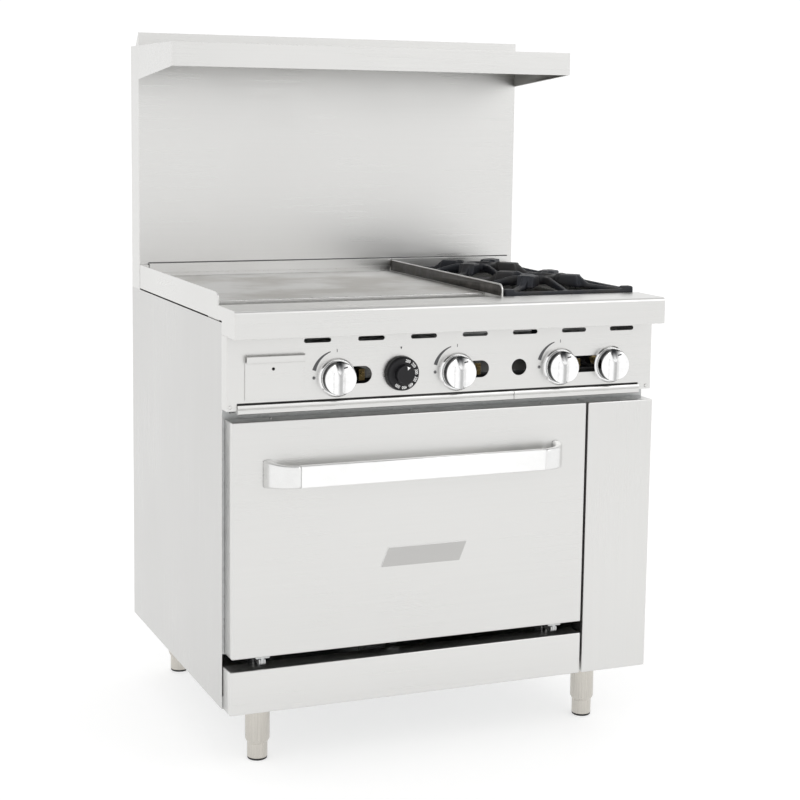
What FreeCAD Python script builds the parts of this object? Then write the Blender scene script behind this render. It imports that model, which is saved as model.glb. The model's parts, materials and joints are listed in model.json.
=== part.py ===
"""Commercial gas range, 36 in wide: a griddle, two open burners and one oven with a drop-down door.

Row frame: the origin is on the floor at the centre of the footprint, +X points to the right of a person
who stands in front, +Y to the back and +Z up. All lengths are in millimetres.

Every driving dimension is a cell of the sheet "dims". Each sub-part is an object of the document whose
sizes are bound to those cells, and each is written to parts/<label>.step.
"""
import FreeCAD, Part
import os
import Sketcher

V = FreeCAD.Vector
doc = FreeCAD.newDocument("gas_range")

SIZES = {
    # the whole range
    "range_width": 914.4,       # 36 in
    "range_back": 399.0,        # rearmost plane
    "range_height": 1447.0,     # top edge of the backguard
    "cabinet_base": 130.0,      # underside of the cabinet
    "cabinet_top": 885.0,       # top edge of the side panels
    "rear_recess": 14.0,        # how far the rear panel stands in from the back
    "side_front": -298.0,       # front edge of the side panels
    "gauge": 1.5,               # sheet metal
    "base_top": 156.0,          # top of the base frame
    # front faces
    "fascia_face": -344.5,      # door, kick plate and right pillar
    "console_face": -331.0,     # control panel
    "kick_left": -455.0,
    "kick_right": 302.5,
    "kick_top": 216.5,
    "pillar_left": 307.0,
    "front_frame_low": 240.0,
    "front_frame_high": 711.5,
    # door
    "door_left": -451.0,
    "door_right": 302.0,
    "door_low": 240.5,
    "door_high": 700.0,
    "door_back": -300.0,
    "door_liner": 2.0,          # inner panel thickness
    "hinge_depth": -333.0,      # hinge axis, in Y
    "hinge_level": 230.0,       # hinge axis, in Z
    "hinge_left": -388.0,
    "hinge_right": 242.0,
    "pin_radius": 4.0,
    "pin_play": 0.05,           # radial running clearance
    # door handle
    "handle_middle": -74.0,
    "handle_half": 316.0,
    "bar_half": 257.0,
    "handle_low": 578.0,
    "handle_high": 621.0,
    "handle_face": -399.0,
    "bar_depth": 14.0,
    # oven cavity
    "oven_left": -405.0,
    "oven_right": 257.0,
    "oven_low": 295.0,
    "oven_high": 650.0,
    "oven_back": 345.0,
    "insulation": 25.0,
    "rack_level": 387.5,
    "rack_pitch": 80.0,
    "rack_levels": 3,
    "rack_wires": 19,
    # control panel
    "console_top": 862.0,
    "console_low": 734.5,
    "ear_low": 720.0,
    "notch_left": -437.5,
    "notch_right": 428.0,
    "vent_count": 7,
    "vent_first": -277.0,
    "vent_pitch": 110.5,
    "vent_level": 849.0,
    "vent_length": 55.0,
    "vent_height": 9.0,
    "sight_level": 778.5,       # centre line of the lighting holes
    "sight_radius": 17.0,
    "light_hole": 153.0,
    # knobs and dial
    "knob_level": 775.5,
    "knob_one": -237.0,
    "knob_two": 16.0,
    "knob_three": 245.0,
    "knob_four": 361.0,
    "knob_radius": 32.5,
    "knob_back": -338.0,
    "knob_face": -356.0,
    "scoop_radius": 16.0,
    "ridge_half": 7.5,
    "bezel_radius": 38.0,
    "dial_middle": -104.0,
    "dial_level": 778.0,
    "dial_radius": 34.5,
    "stem_radius": 3.0,
    "valve_front": -318.0,
    # grease drawer and crumb trays
    "drawer_left": -422.0,
    "drawer_right": -304.0,
    "drawer_low": 740.0,
    "drawer_high": 826.0,
    "drawer_back": -120.0,
    "lip_height": 16.0,
    "tray_low": 713.0,
    "tray_high": 731.0,
    "tray_face": -338.0,
    "tray_back": 300.0,
    "tray_split": 140.0,
    # gas supply
    "manifold_depth": -280.0,   # front run, in Y
    "manifold_level": 750.0,
    "pipe_radius": 13.35,       # 3/4 in pipe
    "inlet_side": 430.0,        # side run, in X
    "boss_top": 766.0,
    "tube_radius": 4.76,        # 3/8 in tube
    "burner_middle": -74.0,
    "burner_level": 215.0,
    "top_burner_level": 830.0,  # griddle burner tubes
    "burner_head_top": 897.0,
    # cooking top
    "rail_face": -381.0,
    "rail_back": -272.0,
    "rail_top": 915.4,
    "splash_low": 888.0,
    "splash_top": 940.0,
    "splash_back": 328.0,
    "splash_right": 143.0,
    "splash_gauge": 3.0,
    "plate_front": -196.0,
    "plate_low": 896.0,
    "plate_top": 915.0,
    "drain_middle": -362.0,
    "drain_depth": -234.0,
    "top_frame_high": 905.0,
    "grate_middle": 299.0,
    "grate_width": 298.0,
    "grate_depth": 292.0,
    "grate_front_middle": -122.0,
    "grate_rear_middle": 172.0,
    "grate_bar": 12.0,
    # backguard and shelf
    "guard_face": 331.0,
    "flue_edge": 356.0,         # foot of the slope behind the top edge
    "flue_level": 1419.0,
    "flue_slots": 11,
    "flue_pitch": 82.0,
    "flue_length": 65.0,
    "shelf_front": 55.5,
    "shelf_top": 1418.7,
    "shelf_low": 1369.5,
    "gusset_low": 1346.0,
    # legs
    "leg_side": 366.0,
    "leg_front": -241.0,
    "leg_rear": 342.0,
    "leg_radius": 24.75,
    "foot_radius": 20.5,
    "foot_top": 35.0,
    "foot_stem": 10.0,
}


# ---------------------------------------------------------------- sizes that keep their expression

class Size:
    """A length that knows its value now and the sheet expression that it comes from."""

    def __init__(self, text, value):
        self.text = text
        self.value = value

    def joined(self, sign, other, value):
        return Size(f"({self.text} {sign} {as_size(other).text})", value)

    def __add__(self, other):
        return self.joined("+", other, self.value + as_size(other).value)

    def __sub__(self, other):
        return self.joined("-", other, self.value - as_size(other).value)

    def __mul__(self, other):
        return self.joined("*", other, self.value * as_size(other).value)

    def __truediv__(self, other):
        return self.joined("/", other, self.value / as_size(other).value)

    def __neg__(self):
        return Size(f"(0 - {self.text})", -self.value)

    def __radd__(self, other):
        return as_size(other) + self

    def __rsub__(self, other):
        return as_size(other) - self

    def __rmul__(self, other):
        return as_size(other) * self


def as_size(value):
    """A plain number as a Size, or the Size itself."""
    return value if isinstance(value, Size) else Size(f"({value!r})", value)


class Dims:
    """The sheet's cells, each read by its alias as a Size."""

    def __init__(self, sizes):
        self.sheet = doc.addObject("Spreadsheet::Sheet", "dims")
        for row, (alias, value) in enumerate(sizes.items(), 1):
            self.sheet.set(f"A{row}", alias)
            self.sheet.set(f"B{row}", str(value))
            self.sheet.setAlias(f"B{row}", alias)
            setattr(self, alias, Size(f"dims.{alias}", value))
        doc.recompute()


d = Dims(SIZES)
half_width = d.range_width / 2


# ---------------------------------------------------------------- builders

def bind(thing, prop, size):
    """Binds one property to a sheet expression."""
    thing.setExpression(prop, as_size(size).text)


def place(thing, x, y, z):
    """Binds where an object's own origin goes."""
    for axis, size in zip("xyz", (x, y, z)):
        bind(thing, f"Placement.Base.{axis}", size)


def block(x, y, z):
    """A block between two corners; x, y and z are each a (low, high) pair."""
    solid = doc.addObject("Part::Box", "block")
    for prop, (low, high) in zip(("Length", "Width", "Height"), (x, y, z)):
        bind(solid, prop, high - low)
    place(solid, x[0], y[0], z[0])
    return solid


TURNS = {
    "x": FreeCAD.Rotation(V(0, 1, 0), 90),
    "y": FreeCAD.Rotation(V(1, 0, 0), -90),
    "z": FreeCAD.Rotation(),
}


def rod(axis, centre, span, radius):
    """A cylinder along one axis; centre gives the two other coordinates, in x, y, z order."""
    solid = doc.addObject("Part::Cylinder", "rod")
    solid.Placement.Rotation = TURNS[axis]
    bind(solid, "Radius", radius)
    bind(solid, "Height", span[1] - span[0])
    at = list(centre)
    at.insert("xyz".index(axis), span[0])
    place(solid, *at)
    return solid


def ball(centre, radius):
    """A sphere, for the bends of a tube."""
    solid = doc.addObject("Part::Sphere", "ball")
    bind(solid, "Radius", radius)
    place(solid, *centre)
    return solid


def fuse(*pieces):
    """One solid from pieces that touch or overlap."""
    joined = doc.addObject("Part::MultiFuse", "fused")
    joined.Shapes = list(pieces)
    joined.Refine = True
    return joined


def group(*pieces):
    """Separate solids that share a node."""
    together = doc.addObject("Part::Compound", "group")
    together.Links = list(pieces)
    return together


def cut(base, *tools):
    """What is left of base without the tools."""
    left = doc.addObject("Part::Cut", "cut")
    left.Base = base
    left.Tool = tools[0] if len(tools) == 1 else group(*tools)
    return left


def overlap(first, second):
    """What two solids share."""
    shared = doc.addObject("Part::Common", "shared")
    shared.Base = first
    shared.Tool = second
    return shared


def folded(x, y, z, wall, open_sides):
    """A box of sheet metal, hollow, with the sides named in open_sides (such as "+y") left out."""
    inner = []
    for axis, (low, high) in zip("xyz", (x, y, z)):
        inner.append((
            low - wall if f"-{axis}" in open_sides else low + wall,
            high + wall if f"+{axis}" in open_sides else high - wall,
        ))
    return cut(block(x, y, z), block(*inner))


def route(points, radius, bend_radius=None):
    """A tube along runs that each follow one axis, with a ball in each bend."""
    pieces = []
    for start, end in zip(points, points[1:]):
        along = next(i for i in range(3) if as_size(start[i]).value != as_size(end[i]).value)
        low, high = sorted((start[along], end[along]), key=lambda size: as_size(size).value)
        centre = [start[i] for i in range(3) if i != along]
        pieces.append(rod("xyz"[along], centre, (low, high), radius))
    pieces += [ball(point, bend_radius or radius) for point in points[1:-1]]
    return fuse(*pieces)


PLANES = {"xy": "XY_Plane", "xz": "XZ_Plane", "yz": "YZ_Plane"}


def sketched_body(plane, points):
    """A PartDesign body with one closed outline whose corners are bound to the sheet."""
    body = doc.addObject("PartDesign::Body", "body")
    sketch = body.newObject("Sketcher::SketchObject", "outline")
    origin = next(item for item in body.Origin.OriginFeatures if item.Role == PLANES[plane])
    sketch.AttachmentSupport = [(origin, "")]
    sketch.MapMode = "FlatFace"
    corners = [V(as_size(a).value, as_size(b).value, 0) for a, b in points]
    for start, end in zip(corners, corners[1:] + corners[:1]):
        sketch.addGeometry(Part.LineSegment(start, end))
    count = len(points)
    for edge in range(count):
        sketch.addConstraint(Sketcher.Constraint("Coincident", edge, 2, (edge + 1) % count, 1))
    for edge, (point, corner) in enumerate(zip(points, corners)):
        for kind, size, value in (("DistanceX", point[0], corner.x), ("DistanceY", point[1], corner.y)):
            index = sketch.addConstraint(Sketcher.Constraint(kind, -1, 1, edge, 1, value))
            sketch.setExpression(f"Constraints[{index}]", as_size(size).text)
    return body, sketch


def extruded(plane, points, start, length):
    """A prism: the outline is padded along +X from start (yz), or along +Z from start (xy)."""
    body, sketch = sketched_body(plane, points)
    pad = body.newObject("PartDesign::Pad", "pad")
    pad.Profile = sketch
    bind(pad, "Length", length)
    place(body, *((start, 0, 0) if plane == "yz" else (0, 0, start)))
    return body


def extruded_back(points, start, length):
    """A prism whose outline is in XZ, from the front plane Y = start backwards."""
    body, sketch = sketched_body("xz", points)
    pad = body.newObject("PartDesign::Pad", "pad")
    pad.Profile = sketch
    pad.Reversed = True
    bind(pad, "Length", length)
    place(body, 0, start, 0)
    return body


def turned(plane, points, axis, x, y, z):
    """A full turn of an outline about one of its sketch axes ("H_Axis" or "V_Axis"), then placed."""
    body, sketch = sketched_body(plane, points)
    spin = body.newObject("PartDesign::Revolution", "spin")
    spin.Profile = sketch
    spin.ReferenceAxis = (sketch, [axis])
    spin.Angle = 360
    place(body, x, y, z)
    return body


def turned_across(points, x, z):
    """A solid of revolution about a line along Y; points are (y, radius) pairs."""
    return turned("yz", points, "H_Axis", x, 0, z)


def turned_upright(points, x, y):
    """A solid of revolution about a vertical line; points are (radius, z) pairs."""
    return turned("xz", points, "V_Axis", x, y, 0)


def rounded_edges(body, radius, wanted):
    """Adds a PartDesign fillet on the edges of the body's last feature that wanted() picks."""
    doc.recompute()
    last = body.Tip
    names = [f"Edge{i}" for i, edge in enumerate(last.Shape.Edges, 1) if wanted(edge)]
    fillet = body.newObject("PartDesign::Fillet", "fillet")
    fillet.Base = (last, names)
    bind(fillet, "Radius", radius)
    return body


def lies_along(edge, axis, near):
    """True for a straight edge along an axis whose middle has the coordinates in near (None is any)."""
    ends = [vertex.Point for vertex in edge.Vertexes]
    if len(ends) != 2 or edge.Curve.TypeId != "Part::GeomLine":
        return False
    run = ends[1] - ends[0]
    if abs(getattr(run.normalize(), axis)) < 0.999:
        return False
    middle = (ends[0] + ends[1]) / 2
    return all(want is None or abs(have - want) < 0.01 for have, want in zip(middle, near))


def stadium(centres, level, radius, y):
    """A slot tool with round ends between two centres in X, cut through the span y."""
    left, right = centres
    return fuse(
        rod("y", (left, level), y, radius),
        rod("y", (right, level), y, radius),
        block((left, right), y, (level - radius, level + radius)),
    )


NODES = {}


def node(label, thing):
    """Names a finished sub-part."""
    thing.Label = label
    NODES[label] = thing
    return thing


# ---------------------------------------------------------------- cabinet

CORNERS = {
    "front_left": (-d.leg_side, d.leg_front),
    "front_right": (d.leg_side, d.leg_front),
    "rear_left": (-d.leg_side, d.leg_rear),
    "rear_right": (d.leg_side, d.leg_rear),
}
STUD_RADIUS = 8
STUD_PLAY = 0.1


def base_frame():
    """An inverted steel tray with a plate in each corner that a leg screws into, and air slots."""
    wall, plate_gauge, plate_width = 2, 4, 135
    front_plate, rear_plate = 98, 82
    slots, slot_pitch, slot_half, slot_reach = 5, 60, 7, 60
    inside = half_width - d.gauge
    low = d.cabinet_base + d.gauge
    front, back = d.side_front, d.range_back - d.rear_recess - 1
    tray = folded((-inside, inside), (front, back), (low, d.base_top), wall, ("-z",))
    plates = [
        block(x, y, (low, low + plate_gauge))
        for x in ((-inside, -inside + plate_width), (inside - plate_width, inside))
        for y in ((front, front + front_plate), (back - rear_plate, back))
    ]
    stud_holes = [
        rod("z", corner, (low - 1, low + plate_gauge + 1), STUD_RADIUS + STUD_PLAY)
        for corner in CORNERS.values()
    ]
    air_slots = []
    for i in range(slots):
        x = d.burner_middle + slot_pitch * (i - (slots - 1) / 2)
        air_slots.append(block((x - slot_half, x + slot_half), (-slot_reach, slot_reach),
                               (d.base_top - wall - 1, d.base_top + 1)))
    node("base_frame", cut(fuse(tray, *plates), *stud_holes, *air_slots))


def side_panel(label, side):
    """A side sheet with a bottom, a rear and a top flange; side is -1 for left and 1 for right."""
    bottom_flange, rear_flange, top_flange = 22, 10, 12
    top_flange_front = -190
    inner = half_width - d.gauge
    y = (d.side_front, d.range_back)
    z = (d.cabinet_base, d.cabinet_top)

    def across(near, far):
        return (near, far) if side > 0 else (-far, -near)

    sheet = block(across(inner, half_width), y, z)
    bottom = block(across(inner - bottom_flange, inner), y, (z[0], z[0] + d.gauge))
    rear = block(across(inner - rear_flange, inner), (y[1] - d.gauge, y[1]), z)
    top = block(across(inner - top_flange, inner), (top_flange_front, d.guard_face), (z[1] - d.gauge, z[1]))
    node(label, fuse(sheet, bottom, rear, top))


def rear_panel():
    """The recessed back, with louvre slots and the hole that the gas inlet comes through."""
    slot_levels, slots, slot_pitch, slot_half, slot_radius = (300, 330, 360), 6, 100, 25, 4
    inlet_clearance = 2
    inside = half_width - d.gauge
    face = d.range_back - d.rear_recess
    sheet = block((-inside, inside), (face, face + d.gauge), (d.cabinet_base + d.gauge, d.cabinet_top))
    through = (face - 1, face + d.gauge + 1)
    inlet = rod("y", (d.inlet_side, d.manifold_level), through, d.pipe_radius + inlet_clearance)
    centres = [slot_pitch * (i - (slots - 1) / 2) for i in range(slots)]
    louvres = [
        stadium((x - slot_half, x + slot_half), level, slot_radius, through)
        for x in centres for level in slot_levels
    ]
    node("rear_panel", cut(sheet, inlet, *louvres))


def kick_plate():
    """The plinth under the door, folded from one sheet, with a narrow top flange."""
    flange = 20
    shell = folded((d.kick_left, d.kick_right), (d.fascia_face, d.side_front), (d.cabinet_base, d.kick_top),
                   d.gauge, ("+y",))
    top_gap = block((d.kick_left + d.gauge, d.kick_right - d.gauge),
                    (d.fascia_face + flange, d.side_front + 1), (d.kick_top - d.gauge - 1, d.kick_top + 1))
    node("kick_plate", cut(shell, top_gap))


def right_pillar():
    """The cover of the service compartment beside the oven door."""
    node("right_pillar", folded((d.pillar_left, half_width), (d.fascia_face, d.side_front),
                                (d.cabinet_base, d.door_high), d.gauge, ("+y",)))


def front_frame():
    """The oven's front frame, with the oven mouth, the service opening and a stile up to each panel ear."""
    stile_left, stile_right, stile_gap = 442, 432, 0.5
    service_left, service_right, service_sill, service_head = 20, 30, 30, 28.5
    inside = half_width - d.gauge
    y = (d.side_front, d.side_front + d.gauge)
    through = (y[0] - 1, y[1] + 1)
    sheet = block((-inside, inside), y, (d.front_frame_low, d.front_frame_high))
    stile_z = (d.front_frame_high, d.ear_low - stile_gap)
    stiles = [block((-inside, -stile_left), y, stile_z), block((stile_right, inside), y, stile_z)]
    mouth = block((d.oven_left, d.oven_right), through, (d.oven_low, d.oven_high))
    service = block((d.pillar_left + service_left, half_width - service_right), through,
                    (d.front_frame_low + service_sill, d.front_frame_high - service_head))
    node("front_frame", cut(fuse(sheet, *stiles), mouth, service))


def tray_runners():
    """Strips that the crumb trays slide on, and two that carry the grease drawer."""
    side_strip, side_overhang, middle_half, thick = 22, 3, 26, 3
    drawer_inset, drawer_strip, drawer_thick = 6, 12, 4
    y = (d.side_front + d.gauge, d.range_back - d.rear_recess)
    z = (d.tray_low - thick, d.tray_low)
    strips = [
        block((d.notch_left - side_overhang, d.notch_left + side_strip), y, z),
        block((d.tray_split - middle_half, d.tray_split + middle_half), y, z),
        block((d.notch_right - side_strip, d.notch_right + side_overhang), y, z),
    ]
    left, right = d.drawer_left + drawer_inset, d.drawer_right - drawer_inset
    drawer_y = (d.console_face + d.gauge, d.drawer_back + 10)
    drawer_z = (d.drawer_low + 1, d.drawer_low + 1 + drawer_thick)
    drawer_x = ((left, left + drawer_strip), (right - drawer_strip, right))
    strips += [block(x, drawer_y, drawer_z) for x in drawer_x]
    node("tray_runners", group(*strips))


def legs_and_feet():
    """Four leg tubes on studs, each with an adjustable foot whose stem runs in the tube."""
    stud_height, socket_depth, stem_length = 18, 70, 68
    shoulder, shoulder_rise = 4, 8
    low = d.foot_top
    top = d.cabinet_base + d.gauge
    bore = d.foot_stem + d.pin_play
    legs = []
    for label, (x, y) in CORNERS.items():
        legs.append(turned_upright([
            (bore, low), (d.leg_radius - shoulder, low), (d.leg_radius, low + shoulder_rise),
            (d.leg_radius, top), (STUD_RADIUS, top), (STUD_RADIUS, top + stud_height), (0, top + stud_height),
            (0, low + socket_depth), (bore, low + socket_depth),
        ], x, y))
        foot = turned_upright([
            (0, 0), (d.foot_radius - 3, 0), (d.foot_radius - 1, 4), (d.foot_radius, 6),
            (d.foot_radius, low), (d.foot_stem, low), (d.foot_stem, low + stem_length),
            (0, low + stem_length),
        ], x, y)
        node(f"foot_{label}", foot)
    node("legs", group(*legs))


# ---------------------------------------------------------------- oven

STUB_DROP = 36               # the oven's gas take-off ends this far below the manifold bosses


def oven_box():
    """The oven's liner, its insulation jacket, the loose bottom deck and the rack guides."""
    flue_half, flue_low, flue_high = 100, 30, 10
    bulb_radius, bulb_back = 2.2, 200
    slot_inset, slot_half, slot_y = 18, 5, (-150, 200)
    deck_inset, deck_y, deck_height = 35, (-270, 320), 10
    guide_y, guide_flange, guide_ledge = (-285, 335), 20, 15
    x = (d.oven_left - d.gauge, d.oven_right + d.gauge)
    y = (d.side_front + d.gauge, d.oven_back + d.gauge)
    z = (d.oven_low - d.gauge, d.oven_high + d.gauge)
    jacket_x = (x[0] - d.insulation, x[1] + d.insulation)
    shell = folded(x, y, z, d.gauge, ("-y",))
    flue = block((d.burner_middle - flue_half, d.burner_middle + flue_half),
                 (d.oven_back - 5, d.oven_back + 60), (d.oven_high - flue_low, d.oven_high - flue_high))
    bulb_hole = rod("x", (bulb_back, d.oven_high - 50), (jacket_x[0] - 10, d.oven_left + 5), bulb_radius)
    heat_slots = [
        block((at - slot_half, at + slot_half), slot_y, (z[0] - 1, d.oven_low + 1))
        for at in (d.oven_left + slot_inset, d.oven_right - slot_inset)
    ]
    node("oven_liner", cut(shell, flue, bulb_hole, *heat_slots))

    jacket = block(jacket_x, (y[0], y[1] + d.insulation), (z[0], z[1] + d.insulation))
    hollow = block(x, (y[0] - 1, y[1]), (z[0] - 1, z[1]))
    node("oven_insulation", cut(jacket, hollow, flue, bulb_hole))

    node("oven_bottom_deck", folded((d.oven_left + deck_inset, d.oven_right - deck_inset), deck_y,
                                    (d.oven_low, d.oven_low + deck_height), d.gauge, ("-z",)))

    guides = []
    for level in range(d.rack_levels.value):
        top = d.rack_level + d.rack_pitch * level
        for wall, inward in ((d.oven_left, 1), (d.oven_right, -1)):
            def across(near, far):
                return (wall + near, wall + far) if inward > 0 else (wall - far, wall - near)
            flange = block(across(0, d.gauge), guide_y, (top - d.gauge, top + guide_flange))
            ledge = block(across(d.gauge, d.gauge + guide_ledge), guide_y, (top - d.gauge, top))
            guides.append(fuse(flange, ledge))
    node("rack_guides", group(*guides))


def oven_rack():
    """A welded wire rack: a rim of thick wire, two cross wires and thin wires from front to back."""
    rim, wire, side_play = 3, 2, 7
    front, back, cross_wires = -245, 320, (-60, 140)
    left, right = d.oven_left + side_play, d.oven_right - side_play
    level = d.rack_level + rim
    corners = [(left, front), (right, front), (right, back), (left, back)]
    pieces = [ball((x, y, level), rim) for x, y in corners]
    pieces += [rod("x", (y, level), (left, right), rim) for y in (front, back, *cross_wires)]
    pieces += [rod("y", (x, level), (front, back), rim) for x in (left, right)]
    pitch = (right - left) / (d.rack_wires + 1)
    for i in range(d.rack_wires.value):
        pieces.append(rod("y", (left + pitch * (i + 1), level + rim), (front, back), wire))
    node("oven_rack", fuse(*pieces))


def oven_gas():
    """The oven's tube burner, its safety valve and the supply tube from the manifold."""
    level = d.burner_level
    mouth, end, tube, throat = -236, 300, 19, 11
    burner = turned_across([
        (mouth, 8), (mouth, 14), (mouth + 10, 14), (mouth + 10, throat), (-200, throat), (-170, tube),
        (end, tube), (end, 0), (end - 6, 0), (end - 6, tube - 4), (-168, tube - 4), (-198, 8),
    ], d.burner_middle, level)
    node("oven_burner", burner)

    side = d.inlet_side + 11
    run_depth, drop_level = -246, 300
    valve_top, valve_half, valve_height, magnet_height = 250, 16, 60, 18
    valve_low = valve_top - valve_height
    body = block((side - 24, side + 12), (run_depth - valve_half, run_depth + valve_half),
                 (valve_low, valve_top))
    magnet = rod("z", (side - 6, run_depth), (valve_low - magnet_height, valve_low), 11)
    node("oven_safety_valve", fuse(body, magnet))

    drop = route([
        (side, d.manifold_depth, d.boss_top - STUB_DROP), (side, d.manifold_depth, drop_level),
        (side, run_depth, drop_level), (side, run_depth, valve_top),
    ], d.tube_radius)
    across = route([
        (side - 24, run_depth, level), (d.burner_middle, run_depth, level),
        (d.burner_middle, mouth - 1, level),
    ], d.tube_radius)
    node("oven_supply_tube", group(drop, across))


# ---------------------------------------------------------------- gas controls

KNOBS = {"knob_1": d.knob_one, "knob_2": d.knob_two, "knob_3": d.knob_three, "knob_4": d.knob_four}
PILOTS = (d.knob_one + 55, d.knob_two + 50, d.knob_three + 45)
BORE_DEPTH = 14              # of each stem socket


def manifold_pipe():
    """The pipe behind the control panel, its run along the right side and the inlet at the back."""
    fitting, cap_wall, boss_radius, stub_radius, mouth_radius = 3.65, 2.65, 8, 7, 10.5
    collar_front, collar_back = d.range_back - 44, d.range_back - d.rear_recess - 1
    y, z = d.manifold_depth, d.manifold_level
    side = (d.inlet_side, z)
    front_run = rod("x", (y, z), (d.knob_one - 45, d.inlet_side), d.pipe_radius)
    cap = rod("x", (y, z), (d.knob_one - 53, d.knob_one - 33), d.pipe_radius + cap_wall)
    elbow = ball((d.inlet_side, y, z), d.pipe_radius + fitting)
    side_run = rod("y", side, (y, collar_front), d.pipe_radius)
    collar = rod("y", side, (collar_front, collar_back), d.pipe_radius + fitting)
    nipple = rod("y", side, (collar_back, d.range_back), d.pipe_radius)
    oven_stub = rod("z", (d.inlet_side + 11, y), (d.boss_top - STUB_DROP, z), stub_radius)
    boss_places = (*KNOBS.values(), *PILOTS, d.dial_middle)
    bosses = [rod("z", (x, y), (z, d.boss_top), boss_radius) for x in boss_places]
    pipe = fuse(front_run, cap, elbow, side_run, collar, nipple, oven_stub, *bosses)
    mouth = rod("y", side, (d.range_back - 70, d.range_back + 1), mouth_radius)
    node("manifold_pipe", cut(pipe, mouth))


def burner_valves():
    """One brass valve on each knob's axis, with a bore for the knob's stem."""
    body_back, nozzle_back = -262, -250
    valves = []
    for x in KNOBS.values():
        axis = (x, d.knob_level)
        body = rod("y", axis, (d.valve_front, body_back), 9)
        neck = rod("z", (x, d.manifold_depth), (d.boss_top, d.knob_level), 7)
        nozzle = rod("y", axis, (body_back, nozzle_back), 5)
        bore = rod("y", axis, (d.valve_front - 1, d.valve_front + BORE_DEPTH), d.stem_radius + d.pin_play)
        valves.append(cut(fuse(body, neck, nozzle), bore))
    node("burner_valves", group(*valves))


def oven_thermostat():
    """The thermostat's body, and its capillary to the bulb on the oven's left wall."""
    half, back, height = 22, -264, 44
    side, over, front, bulb_back, bulb_level = 10 - half_width, 845, -270, 200, d.oven_high - 50
    x, z = d.dial_middle, d.dial_level
    body = block((x - half, x + half), (d.valve_front, back), (d.boss_top, d.boss_top + height))
    bore = rod("y", (x, z), (d.valve_front - 1, d.valve_front + BORE_DEPTH), d.stem_radius + d.pin_play)
    bulb_side = d.oven_left + 11
    capillary = route([
        (x, front, d.boss_top + height - 4), (x, front, over), (side, front, over), (side, front, bulb_level),
        (side, bulb_back, bulb_level), (bulb_side, bulb_back, bulb_level),
    ], 1.5)
    bulb = rod("y", (bulb_side, bulb_level), (bulb_back - 110, bulb_back + 10), 4.75)
    node("oven_thermostat", fuse(cut(body, bore), capillary, bulb))


def pilots():
    """Brass pilot valves on the manifold, each with a tube to its burner."""
    front, back, half, height = -322, -274, 6, 22
    tube_back, tube_top = -185, 845
    pieces = []
    for x in PILOTS:
        z = d.sight_level
        body = block((x - half, x + half), (front, back), (d.boss_top, d.boss_top + height))
        screw = rod("y", (x, z), (front - 5, front), 4)
        tube = route([(x, back - 2, z), (x, tube_back, z), (x, tube_back, tube_top)], 2.5)
        pieces.append(fuse(body, screw, tube))
    node("pilot_burners", group(*pieces))


def griddle_burners():
    """Two U-shaped tube burners under the griddle plate."""
    reach, tube, inlet_tube = 55, 14, 12
    start, front, back = -246, -150, 290
    level = d.top_burner_level
    burners = []
    for x in (d.knob_one, d.knob_two):
        inlet = route([(x, start, d.knob_level), (x, front, d.knob_level), (x, front, level)], inlet_tube)
        cross = rod("x", (front, level), (x - reach, x + reach), tube)
        bends = [ball((x + side * reach, front, level), tube) for side in (-1, 1)]
        arms = [rod("y", (x + side * reach, level), (front, back), tube) for side in (-1, 1)]
        burners.append(fuse(inlet, cross, *bends, *arms))
    node("griddle_burners", group(*burners))


def open_burners():
    """Two round cast burners under the grates, each with its mixer tube from the valve."""
    start, mixer_tube = -246, 12
    top = d.burner_head_top
    burners = []
    for x, y in ((d.knob_three, d.grate_front_middle), (d.knob_four, d.grate_rear_middle)):
        mixer = route([
            (x, start, d.knob_level), (x, y, d.knob_level), (d.grate_middle, y, d.knob_level),
            (d.grate_middle, y, top - 20),
        ], mixer_tube)
        head = turned_upright([
            (0, top - 40), (14, top - 40), (44, top - 20), (48, top - 16), (48, top - 8), (40, top),
            (20, top), (14, top - 6), (0, top - 6),
        ], d.grate_middle, y)
        burners.append(fuse(mixer, head))
    node("open_burners", group(*burners))


def burner_supports():
    """Cross rails that the top burners rest on, and two stands under the oven burner."""
    rail_half, rail_z, rail_places = 8, (801, 816), (-76, 250)
    stand_half, stand_gauge, stand_places, saddle_radius = 30, 3, (-120, 220), 19.1
    inside = half_width - d.gauge
    rails = [block((-inside, inside), (y - rail_half, y + rail_half), rail_z) for y in rail_places]
    stands = []
    for y in stand_places:
        stand = block((d.burner_middle - stand_half, d.burner_middle + stand_half),
                      (y - stand_gauge / 2, y + stand_gauge / 2), (d.base_top, d.burner_level + 4))
        saddle = rod("y", (d.burner_middle, d.burner_level), (y - stand_gauge, y + stand_gauge),
                     saddle_radius)
        stands.append(cut(stand, saddle))
    node("burner_supports", group(*rails, *stands))


# ---------------------------------------------------------------- control panel

PANEL_SCREWS = ((6.5 - half_width, d.ear_low + 8), (half_width - 10.5, d.ear_low + 7))


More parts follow.
